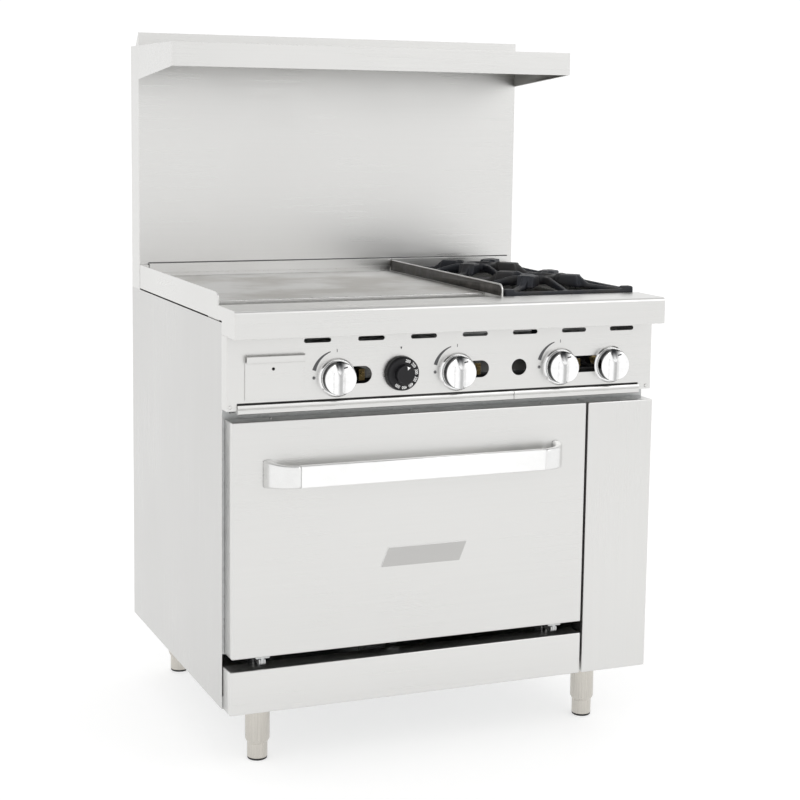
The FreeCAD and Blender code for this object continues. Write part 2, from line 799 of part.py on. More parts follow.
def control_panel():
    """The folded fascia behind the knobs, with its vents, sight holes and the drawer's opening."""
    hem_depth, stem_hole, sight_offset, drawer_overlap, screw_hole = 12, 6, 28, 3, 2.1
    face = d.console_face
    y = (face, face + d.gauge)
    through = (face - 1, face + d.gauge + 1)
    inner_y = (face + d.gauge, d.side_front)
    front = block((-half_width, half_width), y, (d.ear_low, d.console_top))
    returns = [
        block(x, inner_y, (d.ear_low, d.console_top))
        for x in ((-half_width, -half_width + d.gauge), (half_width - d.gauge, half_width))
    ]
    top = block((-half_width + d.gauge, half_width - d.gauge), inner_y,
                (d.console_top - d.gauge, d.console_top))
    hem = block((d.notch_left, d.notch_right), (face + d.gauge, face + hem_depth),
                (d.console_low, d.console_low + d.gauge))
    notch = block((d.notch_left, d.notch_right), through, (d.ear_low - 1, d.console_low))
    vent_half = (d.vent_length - d.vent_height) / 2
    vents = []
    for i in range(d.vent_count.value):
        x = d.vent_first + d.vent_pitch * i
        vents.append(stadium((x - vent_half, x + vent_half), d.vent_level, d.vent_height / 2, through))
    stems = [rod("y", (x, d.knob_level), through, stem_hole) for x in KNOBS.values()]
    stems.append(rod("y", (d.dial_middle, d.dial_level), through, stem_hole))
    sight_ends = [
        (d.knob_one + sight_offset, PILOTS[0]),
        (d.knob_two + sight_offset, PILOTS[1] + 3),
        (d.knob_three + sight_offset, d.knob_four - sight_offset),
    ]
    sights = [stadium(ends, d.sight_level, d.sight_radius, through) for ends in sight_ends]
    light = rod("y", (d.light_hole, d.sight_level), through, d.sight_radius - 0.4)
    drawer = block((d.drawer_left + drawer_overlap, d.drawer_right - drawer_overlap), through,
                   (d.drawer_low + drawer_overlap, d.drawer_high - drawer_overlap))
    screw_holes = [rod("y", place, through, screw_hole) for place in PANEL_SCREWS]
    sheet = fuse(front, *returns, top, hem)
    node("control_panel", cut(sheet, notch, *vents, *stems, *sights, light, drawer, *screw_holes))


def panel_screws():
    """The two screws that hold the control panel by its ears."""
    face = d.console_face
    screws = [
        turned_across([
            (face - 2.4, 0), (face - 1.8, 2.6), (face, 4), (face, 2), (face + 9, 2), (face + 9, 0),
        ], x, z)
        for x, z in PANEL_SCREWS
    ]
    node("panel_screws", group(*screws))


def knob_bezels():
    """The chromed skirts that stay on the panel behind the knobs."""
    face = d.console_face
    rings = [
        turned_across([
            (face, 8), (face, d.bezel_radius), (face - 3, d.bezel_radius), (face - 6, d.bezel_radius - 3),
            (face - 6, 8),
        ], x, d.knob_level)
        for x in KNOBS.values()
    ]
    node("knob_bezels", group(*rings))


def knobs():
    """Four chromed knobs: a drum whose two scoops leave a vertical grip ridge."""
    scoop_offset, scoop_front = d.scoop_radius + d.ridge_half, 6
    stem_end = d.valve_front + BORE_DEPTH - 1
    for label, x in KNOBS.items():
        drum = turned_across([
            (d.knob_back, 0), (d.knob_back, d.knob_radius), (d.knob_face + 6, d.knob_radius),
            (d.knob_face + 2, d.knob_radius - 2), (d.knob_face, d.knob_radius - 6), (d.knob_face, 0),
        ], x, d.knob_level)
        scoops = [
            rod("z", (x + side * scoop_offset, d.knob_face - scoop_front),
                (d.knob_level - 40, d.knob_level + 40), d.scoop_radius)
            for side in (-1, 1)
        ]
        stem = rod("y", (x, d.knob_level), (d.knob_back - 1, stem_end), d.stem_radius)
        node(label, fuse(cut(drum, *scoops), stem))


def thermostat_dial():
    """The oven's dial: a black skirt with a raised boss, on its stem."""
    face = d.console_face
    skirt = turned_across([
        (face - 2, 0), (face - 2, d.dial_radius), (face - 13, d.dial_radius - 1.5),
        (face - 16, d.dial_radius - 4.5),
        (face - 16, 20), (face - 27, 18.5), (face - 28, 17.5), (face - 28, 0),
    ], d.dial_middle, d.dial_level)
    stem_end = d.valve_front + BORE_DEPTH - 1
    stem = rod("y", (d.dial_middle, d.dial_level), (face - 3, stem_end), d.stem_radius)
    node("thermostat_dial", fuse(skirt, stem))


def grease_drawer():
    """The grease drawer: a front plate with a rolled finger lip, and an open box behind it."""
    plate, lip_depth, lip_wall, lip_inset, box_inset = 2, 8, 1.5, 1, 4
    sight_across, sight_up, sight_radius = 56, 58, 3
    x = (d.drawer_left, d.drawer_right)
    back = d.console_face - 0.5
    face = back - plate
    top = d.drawer_high
    front = block(x, (face, back), (d.drawer_low, top))
    front_edge, low = face - lip_depth, top - d.lip_height
    lip = extruded("yz", [
        (face, top), (front_edge + 3, top), (front_edge, top - 3), (front_edge, low + 3),
        (front_edge + 2, low), (front_edge + 2 + lip_wall, low + 1), (front_edge + lip_wall, low + 4),
        (front_edge + lip_wall, top - 4), (front_edge + 4, top - lip_wall), (face, top - lip_wall),
    ], x[0] + lip_inset, x[1] - x[0] - lip_inset * 2)
    box = folded((x[0] + box_inset, x[1] - box_inset), (back, d.drawer_back), (d.drawer_low + 5, top - 4),
                 d.gauge, ("+z",))
    sight = rod("y", (d.drawer_left + sight_across, d.drawer_low + sight_up), (face - 1, back + 3),
                sight_radius)
    node("grease_drawer", cut(fuse(front, lip, box), sight))


def crumb_trays():
    """Two sheet trays under the burners; their front hems show below the control panel."""
    play, inset, hem_depth, box_drop = 0.5, 1.5, 7, 2
    spans = {
        "crumb_tray_left": (d.notch_left + play, d.tray_split - play),
        "crumb_tray_right": (d.tray_split + play, d.notch_right - play),
    }
    front, low, high = d.tray_face, d.tray_low, d.tray_high
    back_of_hem = front + hem_depth
    for label, (left, right) in spans.items():
        box = folded((left + inset, right - inset), (back_of_hem, d.tray_back), (low, high - box_drop),
                     d.gauge, ("+z",))
        hem = extruded("yz", [
            (back_of_hem, low + 0.5), (front + 2, low + 0.5), (front + 0.5, low + 2),
            (front + 0.5, low + 9), (front + 2, low + 10.5), (front, low + 12.5), (front, high - 3),
            (front + 2, high), (back_of_hem, high),
        ], left, right - left)
        node(label, fuse(box, hem))


# ---------------------------------------------------------------- cooking top

def front_rail():
    """The bullnose rail: a folded sheet with closed ends and a rounded front edge."""
    gauge, nose = d.gauge, 8
    open_depth = 5

    def profile(inset, low):
        return [
            (d.rail_face + inset, low), (d.rail_face + inset, d.rail_top - inset),
            (d.rail_back - inset, d.rail_top - inset), (d.rail_back - inset, d.splash_low + inset),
            (d.side_front - inset, d.splash_low + inset), (d.side_front - inset, low),
        ]

    def nose_edge(inset):
        corner = (None, (d.rail_face + inset).value, (d.rail_top - inset).value)
        return lambda edge: lies_along(edge, "x", corner)

    outer = extruded("yz", profile(0, d.console_top), -half_width, d.range_width)
    rounded_edges(outer, nose, nose_edge(0))
    inner = extruded("yz", profile(gauge, d.console_top - open_depth), -half_width + gauge,
                     d.range_width - gauge * 2)
    rounded_edges(inner, nose - gauge, nose_edge(gauge))
    node("front_rail", cut(outer, inner))


def griddle():
    """The griddle plate, the splash guard round three sides and the grease trough with its drain."""
    wall, corner = d.splash_gauge, 14
    trough_wall, trough_drop, trough_rim = 2, 20, 3
    spout_radius, drain_radius, spout_length = 15, 12, 36
    y = (d.rail_back, d.splash_back)
    z = (d.splash_low, d.splash_top)
    walls = []
    for left in (-half_width, d.splash_right - wall):
        side = extruded("yz", [(y[0], z[0]), (y[1], z[0]), (y[1], z[1]), (y[0], z[1])], left, wall)
        rounded_edges(side, corner, lambda edge: lies_along(edge, "x", (None, y[0].value, z[1].value)))
        walls.append(side)
    inside = (-half_width + wall, d.splash_right - wall)
    rear = block(inside, (y[1] - wall, y[1]), z)
    node("griddle_splash_guard", fuse(*walls, rear))

    node("griddle_plate", block(inside, (d.plate_front, y[1] - wall), (d.plate_low, d.plate_top)))

    floor = d.plate_low - trough_drop
    gutter = folded(inside, (d.rail_back, d.plate_front), (floor, d.plate_top - trough_rim), trough_wall,
                    ("+z",))
    drain_place = (d.drain_middle, d.drain_depth)
    spout = rod("z", drain_place, (floor - spout_length, floor + 1), spout_radius)
    drain = rod("z", drain_place, (floor - spout_length - 1, floor + trough_wall + 8), drain_radius)
    node("grease_trough", cut(fuse(gutter, spout), drain))


def burner_top_frame():
    """The folded frame round the open burners that the grates rest on."""
    opening_half, opening_y = 141, (-260, 310)
    top = d.top_frame_high
    sheet = folded((d.splash_right, half_width), (d.rail_back, d.guard_face), (d.cabinet_top, top), d.gauge,
                   ("-z",))
    opening = block((d.grate_middle - opening_half, d.grate_middle + opening_half), opening_y,
                    (top - 5, top + 1))
    node("burner_top_frame", cut(sheet, opening))


def placed_turned(thing, x, y, angle):
    """Stands a piece at x, y and turns it about the vertical by an angle in degrees."""
    place(thing, x, y, 0)
    thing.Placement.Rotation = FreeCAD.Rotation(V(0, 0, 1), angle)
    return thing


def grate(label, middle):
    """A cast grate: an outer frame, a hub ring, four diagonal arms and four side arms."""
    rim_height, lug, lug_height = 17, 22, 23
    hub_inner, hub_outer, hub_low, hub_high = 28, 40, 22, 38
    arm_width, shoulder_width, arm_top = 14, 36, 42
    finger_width, finger_rise = 9, 36
    x, y, low, bar = d.grate_middle, middle, d.top_frame_high, d.grate_bar
    half_x, half_y = d.grate_width / 2, d.grate_depth / 2
    rim = cut(
        block((x - half_x, x + half_x), (y - half_y, y + half_y), (low, low + rim_height)),
        block((x - half_x + bar, x + half_x - bar), (y - half_y + bar, y + half_y - bar),
              (low - 1, low + rim_height + 1)),
    )
    lugs = [
        block(across, along, (low, low + lug_height))
        for across in ((x - half_x, x - half_x + lug), (x + half_x - lug, x + half_x))
        for along in ((y - half_y, y - half_y + lug), (y + half_y - lug, y + half_y))
    ]
    hub = turned_upright([
        (hub_inner, low + hub_low), (hub_outer, low + hub_low), (hub_outer, low + hub_high),
        (hub_inner, low + hub_high),
    ], x, y)
    top = low + arm_top
    corner_reach = half_y * 1.3
    arms = []
    for corner in range(4):
        pad = extruded("yz", [
            (34, low + 20), (corner_reach, low + 7), (corner_reach, low + rim_height), (110, low + 24),
            (88, top), (44, top), (34, top - 6),
        ], -arm_width / 2, arm_width)
        shoulder = extruded("yz", [(46, low + 20), (96, low + 15), (88, top - 1), (52, top - 1)],
                            -shoulder_width / 2, shoulder_width)
        arms.append(placed_turned(fuse(pad, shoulder), x, y, 45 + 90 * corner))
    for side in range(4):
        reach = half_x - bar / 2 if side % 2 else half_y - bar / 2
        finger = extruded("yz", [
            (hub_inner + 8, low + hub_low), (reach, low + 8), (reach, low + rim_height),
            (60, low + finger_rise), (hub_inner + 8, low + finger_rise),
        ], -finger_width / 2, finger_width)
        arms.append(placed_turned(finger, x, y, 90 * side))
    node(label, fuse(rim, *lugs, hub, *arms))


# ---------------------------------------------------------------- backguard and shelf

def backguard():
    """The riser: a front sheet, a shell of two sides and a back, and the slotted flue cap."""
    slope_drop, slope_wall, bend_inset, slot_margin = 1.7, 2.2, 0.7, 8
    gauge = d.gauge
    base = d.cabinet_top
    inside = half_width - gauge
    front_back = d.guard_face + gauge
    front_sheet = block((-half_width, half_width), (d.guard_face, front_back), (base, d.range_height))
    node("backguard_front", front_sheet)

    slope_top = d.range_height - slope_drop
    profile = [
        (front_back, base), (front_back, slope_top), (d.flue_edge, d.flue_level),
        (d.range_back, d.flue_level), (d.range_back, base),
    ]
    sides = [extruded("yz", profile, left, gauge) for left in (-half_width, inside)]
    back = block((-inside, inside), (d.range_back - gauge, d.range_back), (base, d.flue_level - gauge))
    node("backguard_shell", fuse(*sides, back))

    cap = extruded("yz", [
        (front_back, slope_top), (d.flue_edge, d.flue_level), (d.range_back, d.flue_level),
        (d.range_back, d.flue_level - gauge), (d.flue_edge - bend_inset, d.flue_level - gauge),
        (front_back, slope_top - slope_wall),
    ], -inside, inside * 2)
    slots = []
    for i in range(d.flue_slots.value):
        x = d.flue_pitch * (i - (d.flue_slots.value - 1) / 2)
        slots.append(block((x - d.flue_length / 2, x + d.flue_length / 2),
                           (d.flue_edge + slot_margin, d.range_back - slot_margin),
                           (d.flue_level - 5, d.flue_level + 1)))
    node("flue_cap", cut(cap, *slots))


def rear_trim():
    """The folded strip along the foot of the backguard, notched where the splash guard's wall ends."""
    left_gap, right_gap, lip_depth, low, high = 20, 12, 10, 922, 943
    x = (-half_width + left_gap, half_width - right_gap)
    front = d.guard_face - lip_depth
    lip = block(x, (front, front + d.gauge), (low, high))
    top = block(x, (front + d.gauge, d.guard_face), (high - d.gauge, high))
    wall_notch = block((d.splash_right - d.splash_gauge - 1, d.splash_right + 1),
                       (front - 1, front + d.gauge + 0.5), (low - 1, d.splash_top + 1))
    node("rear_trim", cut(fuse(lip, top), wall_notch))


def high_shelf():
    """The shelf: one sheet with a front drop, a return under it and a tapered gusset at each end."""
    hem_depth = 16
    gauge = d.gauge
    front, back = d.shelf_front, d.guard_face
    inside = half_width - gauge
    top = block((-inside, inside), (front, back), (d.shelf_top - gauge, d.shelf_top))
    drop = block((-inside, inside), (front, front + gauge), (d.shelf_low, d.shelf_top - gauge))
    hem = block((-inside, inside), (front + gauge, front + hem_depth), (d.shelf_low, d.shelf_low + gauge))
    gussets = [
        extruded("yz", [
            (front, d.shelf_low), (back, d.gusset_low), (back, d.shelf_top), (front, d.shelf_top),
        ], left, gauge)
        for left in (-half_width, inside)
    ]
    node("high_shelf", fuse(top, drop, hem, *gussets))


# ---------------------------------------------------------------- door

def door_panels():
    """The outer skin, the insulation that fills it, the inner panel, and the screws in the top edge."""
    screw_places, screw_radius, screw_rise, screw_inset = (-365, -75, 213), 3.8, 2, 29.5
    x = (d.door_left, d.door_right)
    z = (d.door_low, d.door_high)
    liner_face = d.door_back - d.door_liner
    node("door_outer_skin", folded(x, (d.fascia_face, liner_face), z, d.gauge, ("+y",)))
    node("door_insulation", block((x[0] + d.gauge, x[1] - d.gauge), (d.fascia_face + d.gauge, liner_face),
                                  (z[0] + d.gauge, z[1] - d.gauge)))
    node("door_inner_panel", block(x, (liner_face, d.door_back), z))
    outline = [(0, z[1]), (screw_radius, z[1]), (screw_radius - 0.4, z[1] + 1.2), (0, z[1] + screw_rise)]
    screws = [turned_upright(outline, along, d.fascia_face + screw_inset) for along in screw_places]
    node("door_screws", group(*screws))


def door_badge():
    """A blank slanted badge plate on the door."""
    left, right, slant, low, high, thick = -147, 22, 16, 396, 435, 1.2
    corners = [(left, low), (right, low), (right + slant, high), (left + slant, high)]
    node("door_badge", extruded_back(corners, d.fascia_face - thick, thick))


def ellipse_prism(x, semi_x, semi_y):
    """An elliptical prism on the door's face, as tall as the handle, centred at x."""
    ring = doc.addObject("Part::Ellipse", "ellipse")
    bind(ring, "MajorRadius", semi_x)
    bind(ring, "MinorRadius", semi_y)
    place(ring, x, d.fascia_face, d.handle_low)
    prism = doc.addObject("Part::Extrusion", "prism")
    prism.Base = ring
    prism.Dir = V(0, 0, 1)
    prism.DirMode = "Custom"
    prism.Solid = True
    bind(prism, "LengthFwd", d.handle_high - d.handle_low)
    return prism


def door_handle():
    """A flat bar between two cast end brackets that curve back to the door."""
    bar_round, bracket_wall = 3, 18
    z = (d.handle_low, d.handle_high)
    y = (d.handle_face, d.handle_face + d.bar_depth)
    bar_x = (d.handle_middle - d.bar_half, d.handle_middle + d.bar_half)
    section = [(y[0], z[0]), (y[1], z[0]), (y[1], z[1]), (y[0], z[1])]
    bar = extruded("yz", section, bar_x[0], bar_x[1] - bar_x[0])
    rounded_edges(bar, bar_round, lambda edge: lies_along(edge, "x", (None, None, None)))
    node("door_handle_bar", bar)

    reach = d.handle_half - d.bar_half
    stand_off = d.fascia_face - d.handle_face
    brackets = []
    for side, joint in ((-1, bar_x[0]), (1, bar_x[1])):
        curved = cut(ellipse_prism(joint, reach, stand_off),
                     ellipse_prism(joint, reach - bracket_wall, stand_off - bracket_wall))
        beyond = (joint - reach - 1, joint) if side < 0 else (joint, joint + reach + 1)
        quarter = block(beyond, (d.handle_face - 1, d.fascia_face), z)
        brackets.append(overlap(curved, quarter))
    node("door_handle_brackets", group(*brackets))


def hinges():
    """Fixed hinge brackets with their pins, and the arms that hang the door on them."""
    ear_in, ear_out, knuckle_half, knuckle = 3.5, 6.5, 3, 7
    base_half, base_depth, base_gauge = 20, 32, 3
    foot_half, foot_front, foot_back, foot_gauge = 14, 9, 30, 3
    y, z = d.hinge_depth, d.hinge_level
    root = d.side_front + 1
    base_z = (d.base_top, d.base_top + base_gauge)
    outline = [
        (y, z - knuckle), (root, z - knuckle), (root, base_z[1]), (root + base_depth, base_z[1]),
        (root + base_depth, z + knuckle), (y, z + knuckle),
    ]
    brackets = []
    arms = []
    for x in (d.hinge_left, d.hinge_right):
        ears = []
        for near, far in ((-ear_out, -ear_in), (ear_in, ear_out)):
            plate = extruded("yz", outline, x + near, far - near)
            ears.append(fuse(plate, rod("x", (y, z), (x + near, x + far), knuckle)))
        base = block((x - base_half, x + base_half), (root, root + base_depth), base_z)
        pin = rod("x", (y, z), (x - ear_out, x + ear_out), d.pin_radius)
        brackets.append(fuse(*ears, base, pin))

        eye = rod("x", (y, z), (x - knuckle_half, x + knuckle_half), knuckle)
        neck = block((x - knuckle_half, x + knuckle_half), (y - knuckle, y + knuckle), (z, z + knuckle + 1))
        foot = block((x - foot_half, x + foot_half), (y - foot_front, y + foot_back),
                     (d.door_low - foot_gauge, d.door_low))
        bore = rod("x", (y, z), (x - knuckle_half - 1, x + knuckle_half + 1), d.pin_radius + d.pin_play)
        arms.append(cut(fuse(eye, neck, foot), bore))
    node("hinge_brackets", group(*brackets))
    node("door_hinge_arms", group(*arms))


# ---------------------------------------------------------------- build, check and write

def build():
    base_frame()
    side_panel("left_side_panel", -1)
    side_panel("right_side_panel", 1)
    rear_panel()
    kick_plate()
    right_pillar()
    front_frame()
    tray_runners()
    legs_and_feet()
    oven_box()
    oven_rack()
    oven_gas()
    manifold_pipe()
    burner_valves()
    oven_thermostat()
    pilots()
    griddle_burners()
    open_burners()
    burner_supports()
    control_panel()
    panel_screws()
    knob_bezels()
    knobs()
    thermostat_dial()
    grease_drawer()
    crumb_trays()
    front_rail()
    griddle()
    burner_top_frame()
    grate("grate_front", d.grate_front_middle)
    grate("grate_rear", d.grate_rear_middle)
    backguard()
    rear_trim()
    high_shelf()
    door_panels()
    door_badge()
    door_handle()
    hinges()
    doc.recompute()


def check():
    """Stops if any object failed to compute or any sub-part has no valid solid."""
    for thing in doc.Objects:
        if {"Invalid", "Error"} & set(thing.State):
            raise RuntimeError(f"{thing.Name} ({thing.Label}) is {thing.State}")
    for label, thing in NODES.items():
        shape = thing.Shape
        if shape.isNull() or not shape.isValid() or not shape.Solids:
            raise RuntimeError(f"{label} has no valid solid")


def write():
    os.makedirs("parts", exist_ok=True)
    for label, thing in NODES.items():
        thing.Shape.exportStep(f"parts/{label}.step")
        print(f"{label}: {len(thing.Shape.Solids)} solids, {thing.Shape.Volume / 1000:.1f} cm3")
    print(len(NODES), "sub-parts")


build()
check()
write()
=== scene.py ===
import json
import math

import bmesh
import bpy
from mathutils import Matrix, Vector

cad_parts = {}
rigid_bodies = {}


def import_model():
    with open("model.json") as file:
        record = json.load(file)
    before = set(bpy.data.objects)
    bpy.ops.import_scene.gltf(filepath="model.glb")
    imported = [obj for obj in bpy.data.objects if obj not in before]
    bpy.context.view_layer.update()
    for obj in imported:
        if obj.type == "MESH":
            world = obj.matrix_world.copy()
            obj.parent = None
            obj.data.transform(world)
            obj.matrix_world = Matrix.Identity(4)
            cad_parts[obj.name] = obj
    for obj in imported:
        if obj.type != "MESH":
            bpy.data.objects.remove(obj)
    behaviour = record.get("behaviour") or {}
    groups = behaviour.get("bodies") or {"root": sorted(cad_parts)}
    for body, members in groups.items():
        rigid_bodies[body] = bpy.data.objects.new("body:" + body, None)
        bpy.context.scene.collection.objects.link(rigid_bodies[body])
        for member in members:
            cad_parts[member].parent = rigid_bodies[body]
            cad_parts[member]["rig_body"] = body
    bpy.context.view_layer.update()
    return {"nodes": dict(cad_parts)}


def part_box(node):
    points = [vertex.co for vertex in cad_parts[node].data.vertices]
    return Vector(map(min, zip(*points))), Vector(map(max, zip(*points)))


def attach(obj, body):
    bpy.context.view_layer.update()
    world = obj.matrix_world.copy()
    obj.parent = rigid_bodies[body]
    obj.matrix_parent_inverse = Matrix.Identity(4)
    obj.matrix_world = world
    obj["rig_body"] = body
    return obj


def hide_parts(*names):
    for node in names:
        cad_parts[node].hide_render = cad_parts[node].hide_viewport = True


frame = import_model()
nodes = frame["nodes"]

MM = 0.001
FULL_TURN = 2 * math.pi

# Colours, linear RGB.
STEEL_TONE = (0.700, 0.697, 0.685)
GALVANISED_TONE = (0.56, 0.57, 0.57)
# painted shade: the same stainless, darker, for the side and rear panels
SIDE_SHADE_TONE = (0.600, 0.597, 0.588)
# painted shade and reflection for the inner faces of the shelf's gussets
GUSSET_SHADE_TONE = (0.24, 0.237, 0.225)
GRIDDLE_TONE = (0.70, 0.697, 0.69)
# painted shade and reflection for the inner face of the griddle's right splash wall
WALL_SHADE_TONE = (0.040, 0.037, 0.034)
CHROME_TONE = (0.86, 0.86, 0.86)
KNOB_TONE = (0.93, 0.93, 0.93)
# painted shade and reflection for the knobs' grooves, rim and skirt
KNOB_PAINTED_SHADE = (0.020, 0.021, 0.023)
SATIN_TONE = (0.94, 0.94, 0.935)
BADGE_TONE = (0.50, 0.495, 0.485)
CAST_ALLOY_TONE = (0.80, 0.80, 0.795)
LEG_TONE = (0.60, 0.575, 0.53)
ALUMINIUM_TONE = (0.72, 0.73, 0.74)
BRASS_TONE = (0.62, 0.46, 0.20)
IRON_BLACK = (0.016, 0.018, 0.024)
ENAMEL_BLACK = (0.020, 0.022, 0.028)
PLASTIC_BLACK = (0.006, 0.006, 0.007)
RUBBER_BLACK = (0.018, 0.018, 0.018)
PAINT_BLACK = (0.020, 0.020, 0.021)
WOOL_YELLOW = (0.72, 0.62, 0.36)
INK_GREY = (0.030, 0.030, 0.034)
INK_LIGHT_GREY = (0.085, 0.085, 0.088)
PRINT_WHITE = (0.95, 0.95, 0.94)
FLOOR_WHITE = (0.53, 0.53, 0.527)
BROWNED_STEEL = (0.54, 0.525, 0.50)
BURNT_IRON = (0.040, 0.038, 0.037)
FLECK_GREY = (0.34, 0.35, 0.37)


# --- Materials ---------------------------------------------------------------------------------

class Look:
    """One procedural material: a Principled shader and the texture nodes that feed it."""

    def __init__(self, name, metallic=0.0):
        self.material = bpy.data.materials.new(name)
        self.material.use_nodes = True
        self.tree = self.material.node_tree
        self.shader = self.tree.nodes["Principled BSDF"]
        self.shader.inputs["Metallic"].default_value = metallic
        self.place = self.add("ShaderNodeTexCoord").outputs["Object"]

    def add(self, kind, **settings):
        made = self.tree.nodes.new(kind)
        for key, value in settings.items():
            setattr(made, key, value)
        return made

    def feed(self, socket, source):
        """Links a socket to another, or sets it to a plain value."""
        if isinstance(source, bpy.types.NodeSocket):
            self.tree.links.new(source, socket)
        elif socket.type == "RGBA":
            socket.default_value = (*source, 1.0)
        else:
            socket.default_value = source

    def noise(self, size, detail=2.0, stretch=(1, 1, 1)):
        """Noise from 0 to 1 whose features are about size metres, longer along each axis by its stretch."""
        mapping = self.add("ShaderNodeMapping")
        mapping.inputs["Scale"].default_value = [1 / (size * s) for s in stretch]
        self.feed(mapping.inputs["Vector"], self.place)
        texture = self.add("ShaderNodeTexNoise")
        self.feed(texture.inputs["Vector"], mapping.outputs["Vector"])
        texture.inputs["Scale"].default_value = 1.0
        texture.inputs["Detail"].default_value = detail
        return texture.outputs["Fac"]

    def cells(self, size, feature="F1"):
        texture = self.add("ShaderNodeTexVoronoi", feature=feature)
        self.feed(texture.inputs["Vector"], self.place)
        texture.inputs["Scale"].default_value = 1 / size
        return texture

    def spread(self, value, low, high, start=0.3, end=0.7):
        """value from start to end becomes low to high, held at both ends."""
        remap = self.add("ShaderNodeMapRange")
        self.feed(remap.inputs["Value"], value)
        for key, number in (("From Min", start), ("From Max", end), ("To Min", low), ("To Max", high)):
            self.feed(remap.inputs[key], number)
        return remap.outputs["Result"]

    def combine(self, operation, first, second):
        made = self.add("ShaderNodeMath", operation=operation)
        self.feed(made.inputs[0], first)
        self.feed(made.inputs[1], second)
        return made.outputs[0]

    def weighted(self, first, first_share, second, second_share):
        return self.combine("ADD", self.combine("MULTIPLY", first, first_share),
                            self.combine("MULTIPLY", second, second_share))

    def mixed(self, share, first, second):
        made = self.add("ShaderNodeMix", data_type="RGBA")
        self.feed(made.inputs["Factor"], share)
        self.feed(made.inputs[6], first)
        self.feed(made.inputs[7], second)
        return made.outputs[2]

    def colour(self, source):
        self.feed(self.shader.inputs["Base Color"], source)

    def roughness(self, source):
        self.feed(self.shader.inputs["Roughness"], source)

    def bump(self, height, depth, strength=1.0):
        """Raises the surface by up to depth metres where height is 1."""
        made = self.add("ShaderNodeBump")
        self.feed(made.inputs["Height"], height)
        made.inputs["Distance"].default_value = depth
        made.inputs["Strength"].default_value = strength
        self.feed(self.shader.inputs["Normal"], made.outputs["Normal"])


def shade(tone, factor):
    return tuple(min(1.0, channel * factor) for channel in tone)


PAINTED_SHADE_ATTRIBUTE = "stain"              # painted shade and reflection: how dark the knob mesh is painted at each point
GRAINS = {"X": (260, 1, 1), "Y": (1, 260, 1), "Z": (1, 1, 260)}


def brushed(name, tone, grain, rough=0.30, contrast=0.024):
    """Brushed sheet: fine scratches along the grain, slow clouding where hands and cloths have passed."""
    look = Look(name, metallic=1.0)
    fine = look.noise(0.9 * MM, 3.0, GRAINS[grain])
    broad = look.noise(7 * MM, 2.0, tuple(max(1, s / 6) for s in GRAINS[grain]))
    clouds = look.noise(0.28, 3.0)
    streaks = look.weighted(fine, 0.6, broad, 0.4)
    worn = look.weighted(streaks, 0.65, clouds, 0.35)
    look.colour(look.mixed(look.spread(worn, 0, 1), shade(tone, 1 - contrast), shade(tone, 1 + contrast)))
    scratched = look.spread(streaks, rough - 0.05, rough + 0.06)
    look.roughness(look.combine("ADD", scratched, look.spread(clouds, -0.03, 0.05)))
    look.bump(streaks, 0.03 * MM, 0.5)
    return look.material


def worn_edge(name, tone, rough=0.22):
    """The same metal rubbed brighter along an edge, in broken patches."""
    look = Look(name, metallic=1.0)
    patches = look.noise(9 * MM, 4.0)
    look.colour(look.mixed(look.spread(patches, 0, 1), shade(tone, 0.94), shade(tone, 1.14)))
    look.roughness(look.spread(patches, rough + 0.14, rough))
    look.bump(look.noise(0.8 * MM, 2.0), 0.02 * MM, 0.4)
    return look.material


def galvanised(name, tone):
    """Hot-dip zinc: flat crystals of slightly different grey, a finger's width across."""
    look = Look(name, metallic=1.0)
    crystals = look.cells(11 * MM)
    grey = look.add("ShaderNodeSeparateColor")
    look.feed(grey.inputs[0], crystals.outputs["Color"])
    speckle = look.noise(1.4 * MM, 3.0)
    share = look.weighted(grey.outputs[0], 0.7, speckle, 0.3)
    look.colour(look.mixed(share, shade(tone, 0.82), shade(tone, 1.12)))
    look.roughness(look.spread(share, 0.36, 0.55, 0.1, 0.9))
    look.bump(speckle, 0.05 * MM, 0.4)
    return look.material


def ground_plate(name, tone):
    """The griddle's steel: ground in short crossed strokes, browned a little where fat has burnt on."""
    look = Look(name, metallic=1.0)
    strokes = look.combine("MAXIMUM", look.noise(1.3 * MM, 3.0, (1, 60, 1)),
                           look.noise(1.3 * MM, 3.0, (60, 1, 1)))
    seasoning = look.noise(0.16, 5.0)
    tint = look.mixed(look.spread(seasoning, 0, 1, 0.42, 0.62), tone, BROWNED_STEEL)
    look.colour(look.mixed(look.spread(strokes, 0.0, 0.25, 0.5, 0.75), tint, shade(tone, 1.2)))
    look.roughness(look.combine("ADD", look.spread(strokes, 0.34, 0.46), look.spread(seasoning, -0.05, 0.06)))
    look.bump(strokes, 0.06 * MM, 0.6)
    return look.material


def polished(name, tone, rough=0.07):
    """Plated or polished metal with faint wiping marks."""
    look = Look(name, metallic=1.0)
    smears = look.noise(14 * MM, 5.0)
    look.colour(look.mixed(look.spread(smears, 0, 1), shade(tone, 0.97), shade(tone, 1.03)))
    look.roughness(look.spread(smears, rough, rough + 0.07))
    look.bump(look.noise(5 * MM, 2.0), 0.03 * MM, 0.2)
    return look.material


def shaded_chrome(name, tone, dark):
    """Chrome over a casting, with painted shade and reflection in its grooves and skirt, by the mesh's own
    painted shade value.
    """
    look = Look(name, metallic=1.0)
    smears = look.noise(9 * MM, 4.0)
    clean = look.mixed(look.spread(smears, 0, 1), shade(tone, 0.95), shade(tone, 1.05))
    stain = look.add("ShaderNodeAttribute", attribute_name=PAINTED_SHADE_ATTRIBUTE).outputs["Fac"]
    look.colour(look.mixed(stain, clean, dark))
    look.roughness(look.combine("ADD", look.spread(smears, 0.06, 0.13),
                                look.combine("MULTIPLY", stain, 0.15)))
    look.bump(look.noise(5 * MM, 2.0), 0.03 * MM, 0.2)
    return look.material


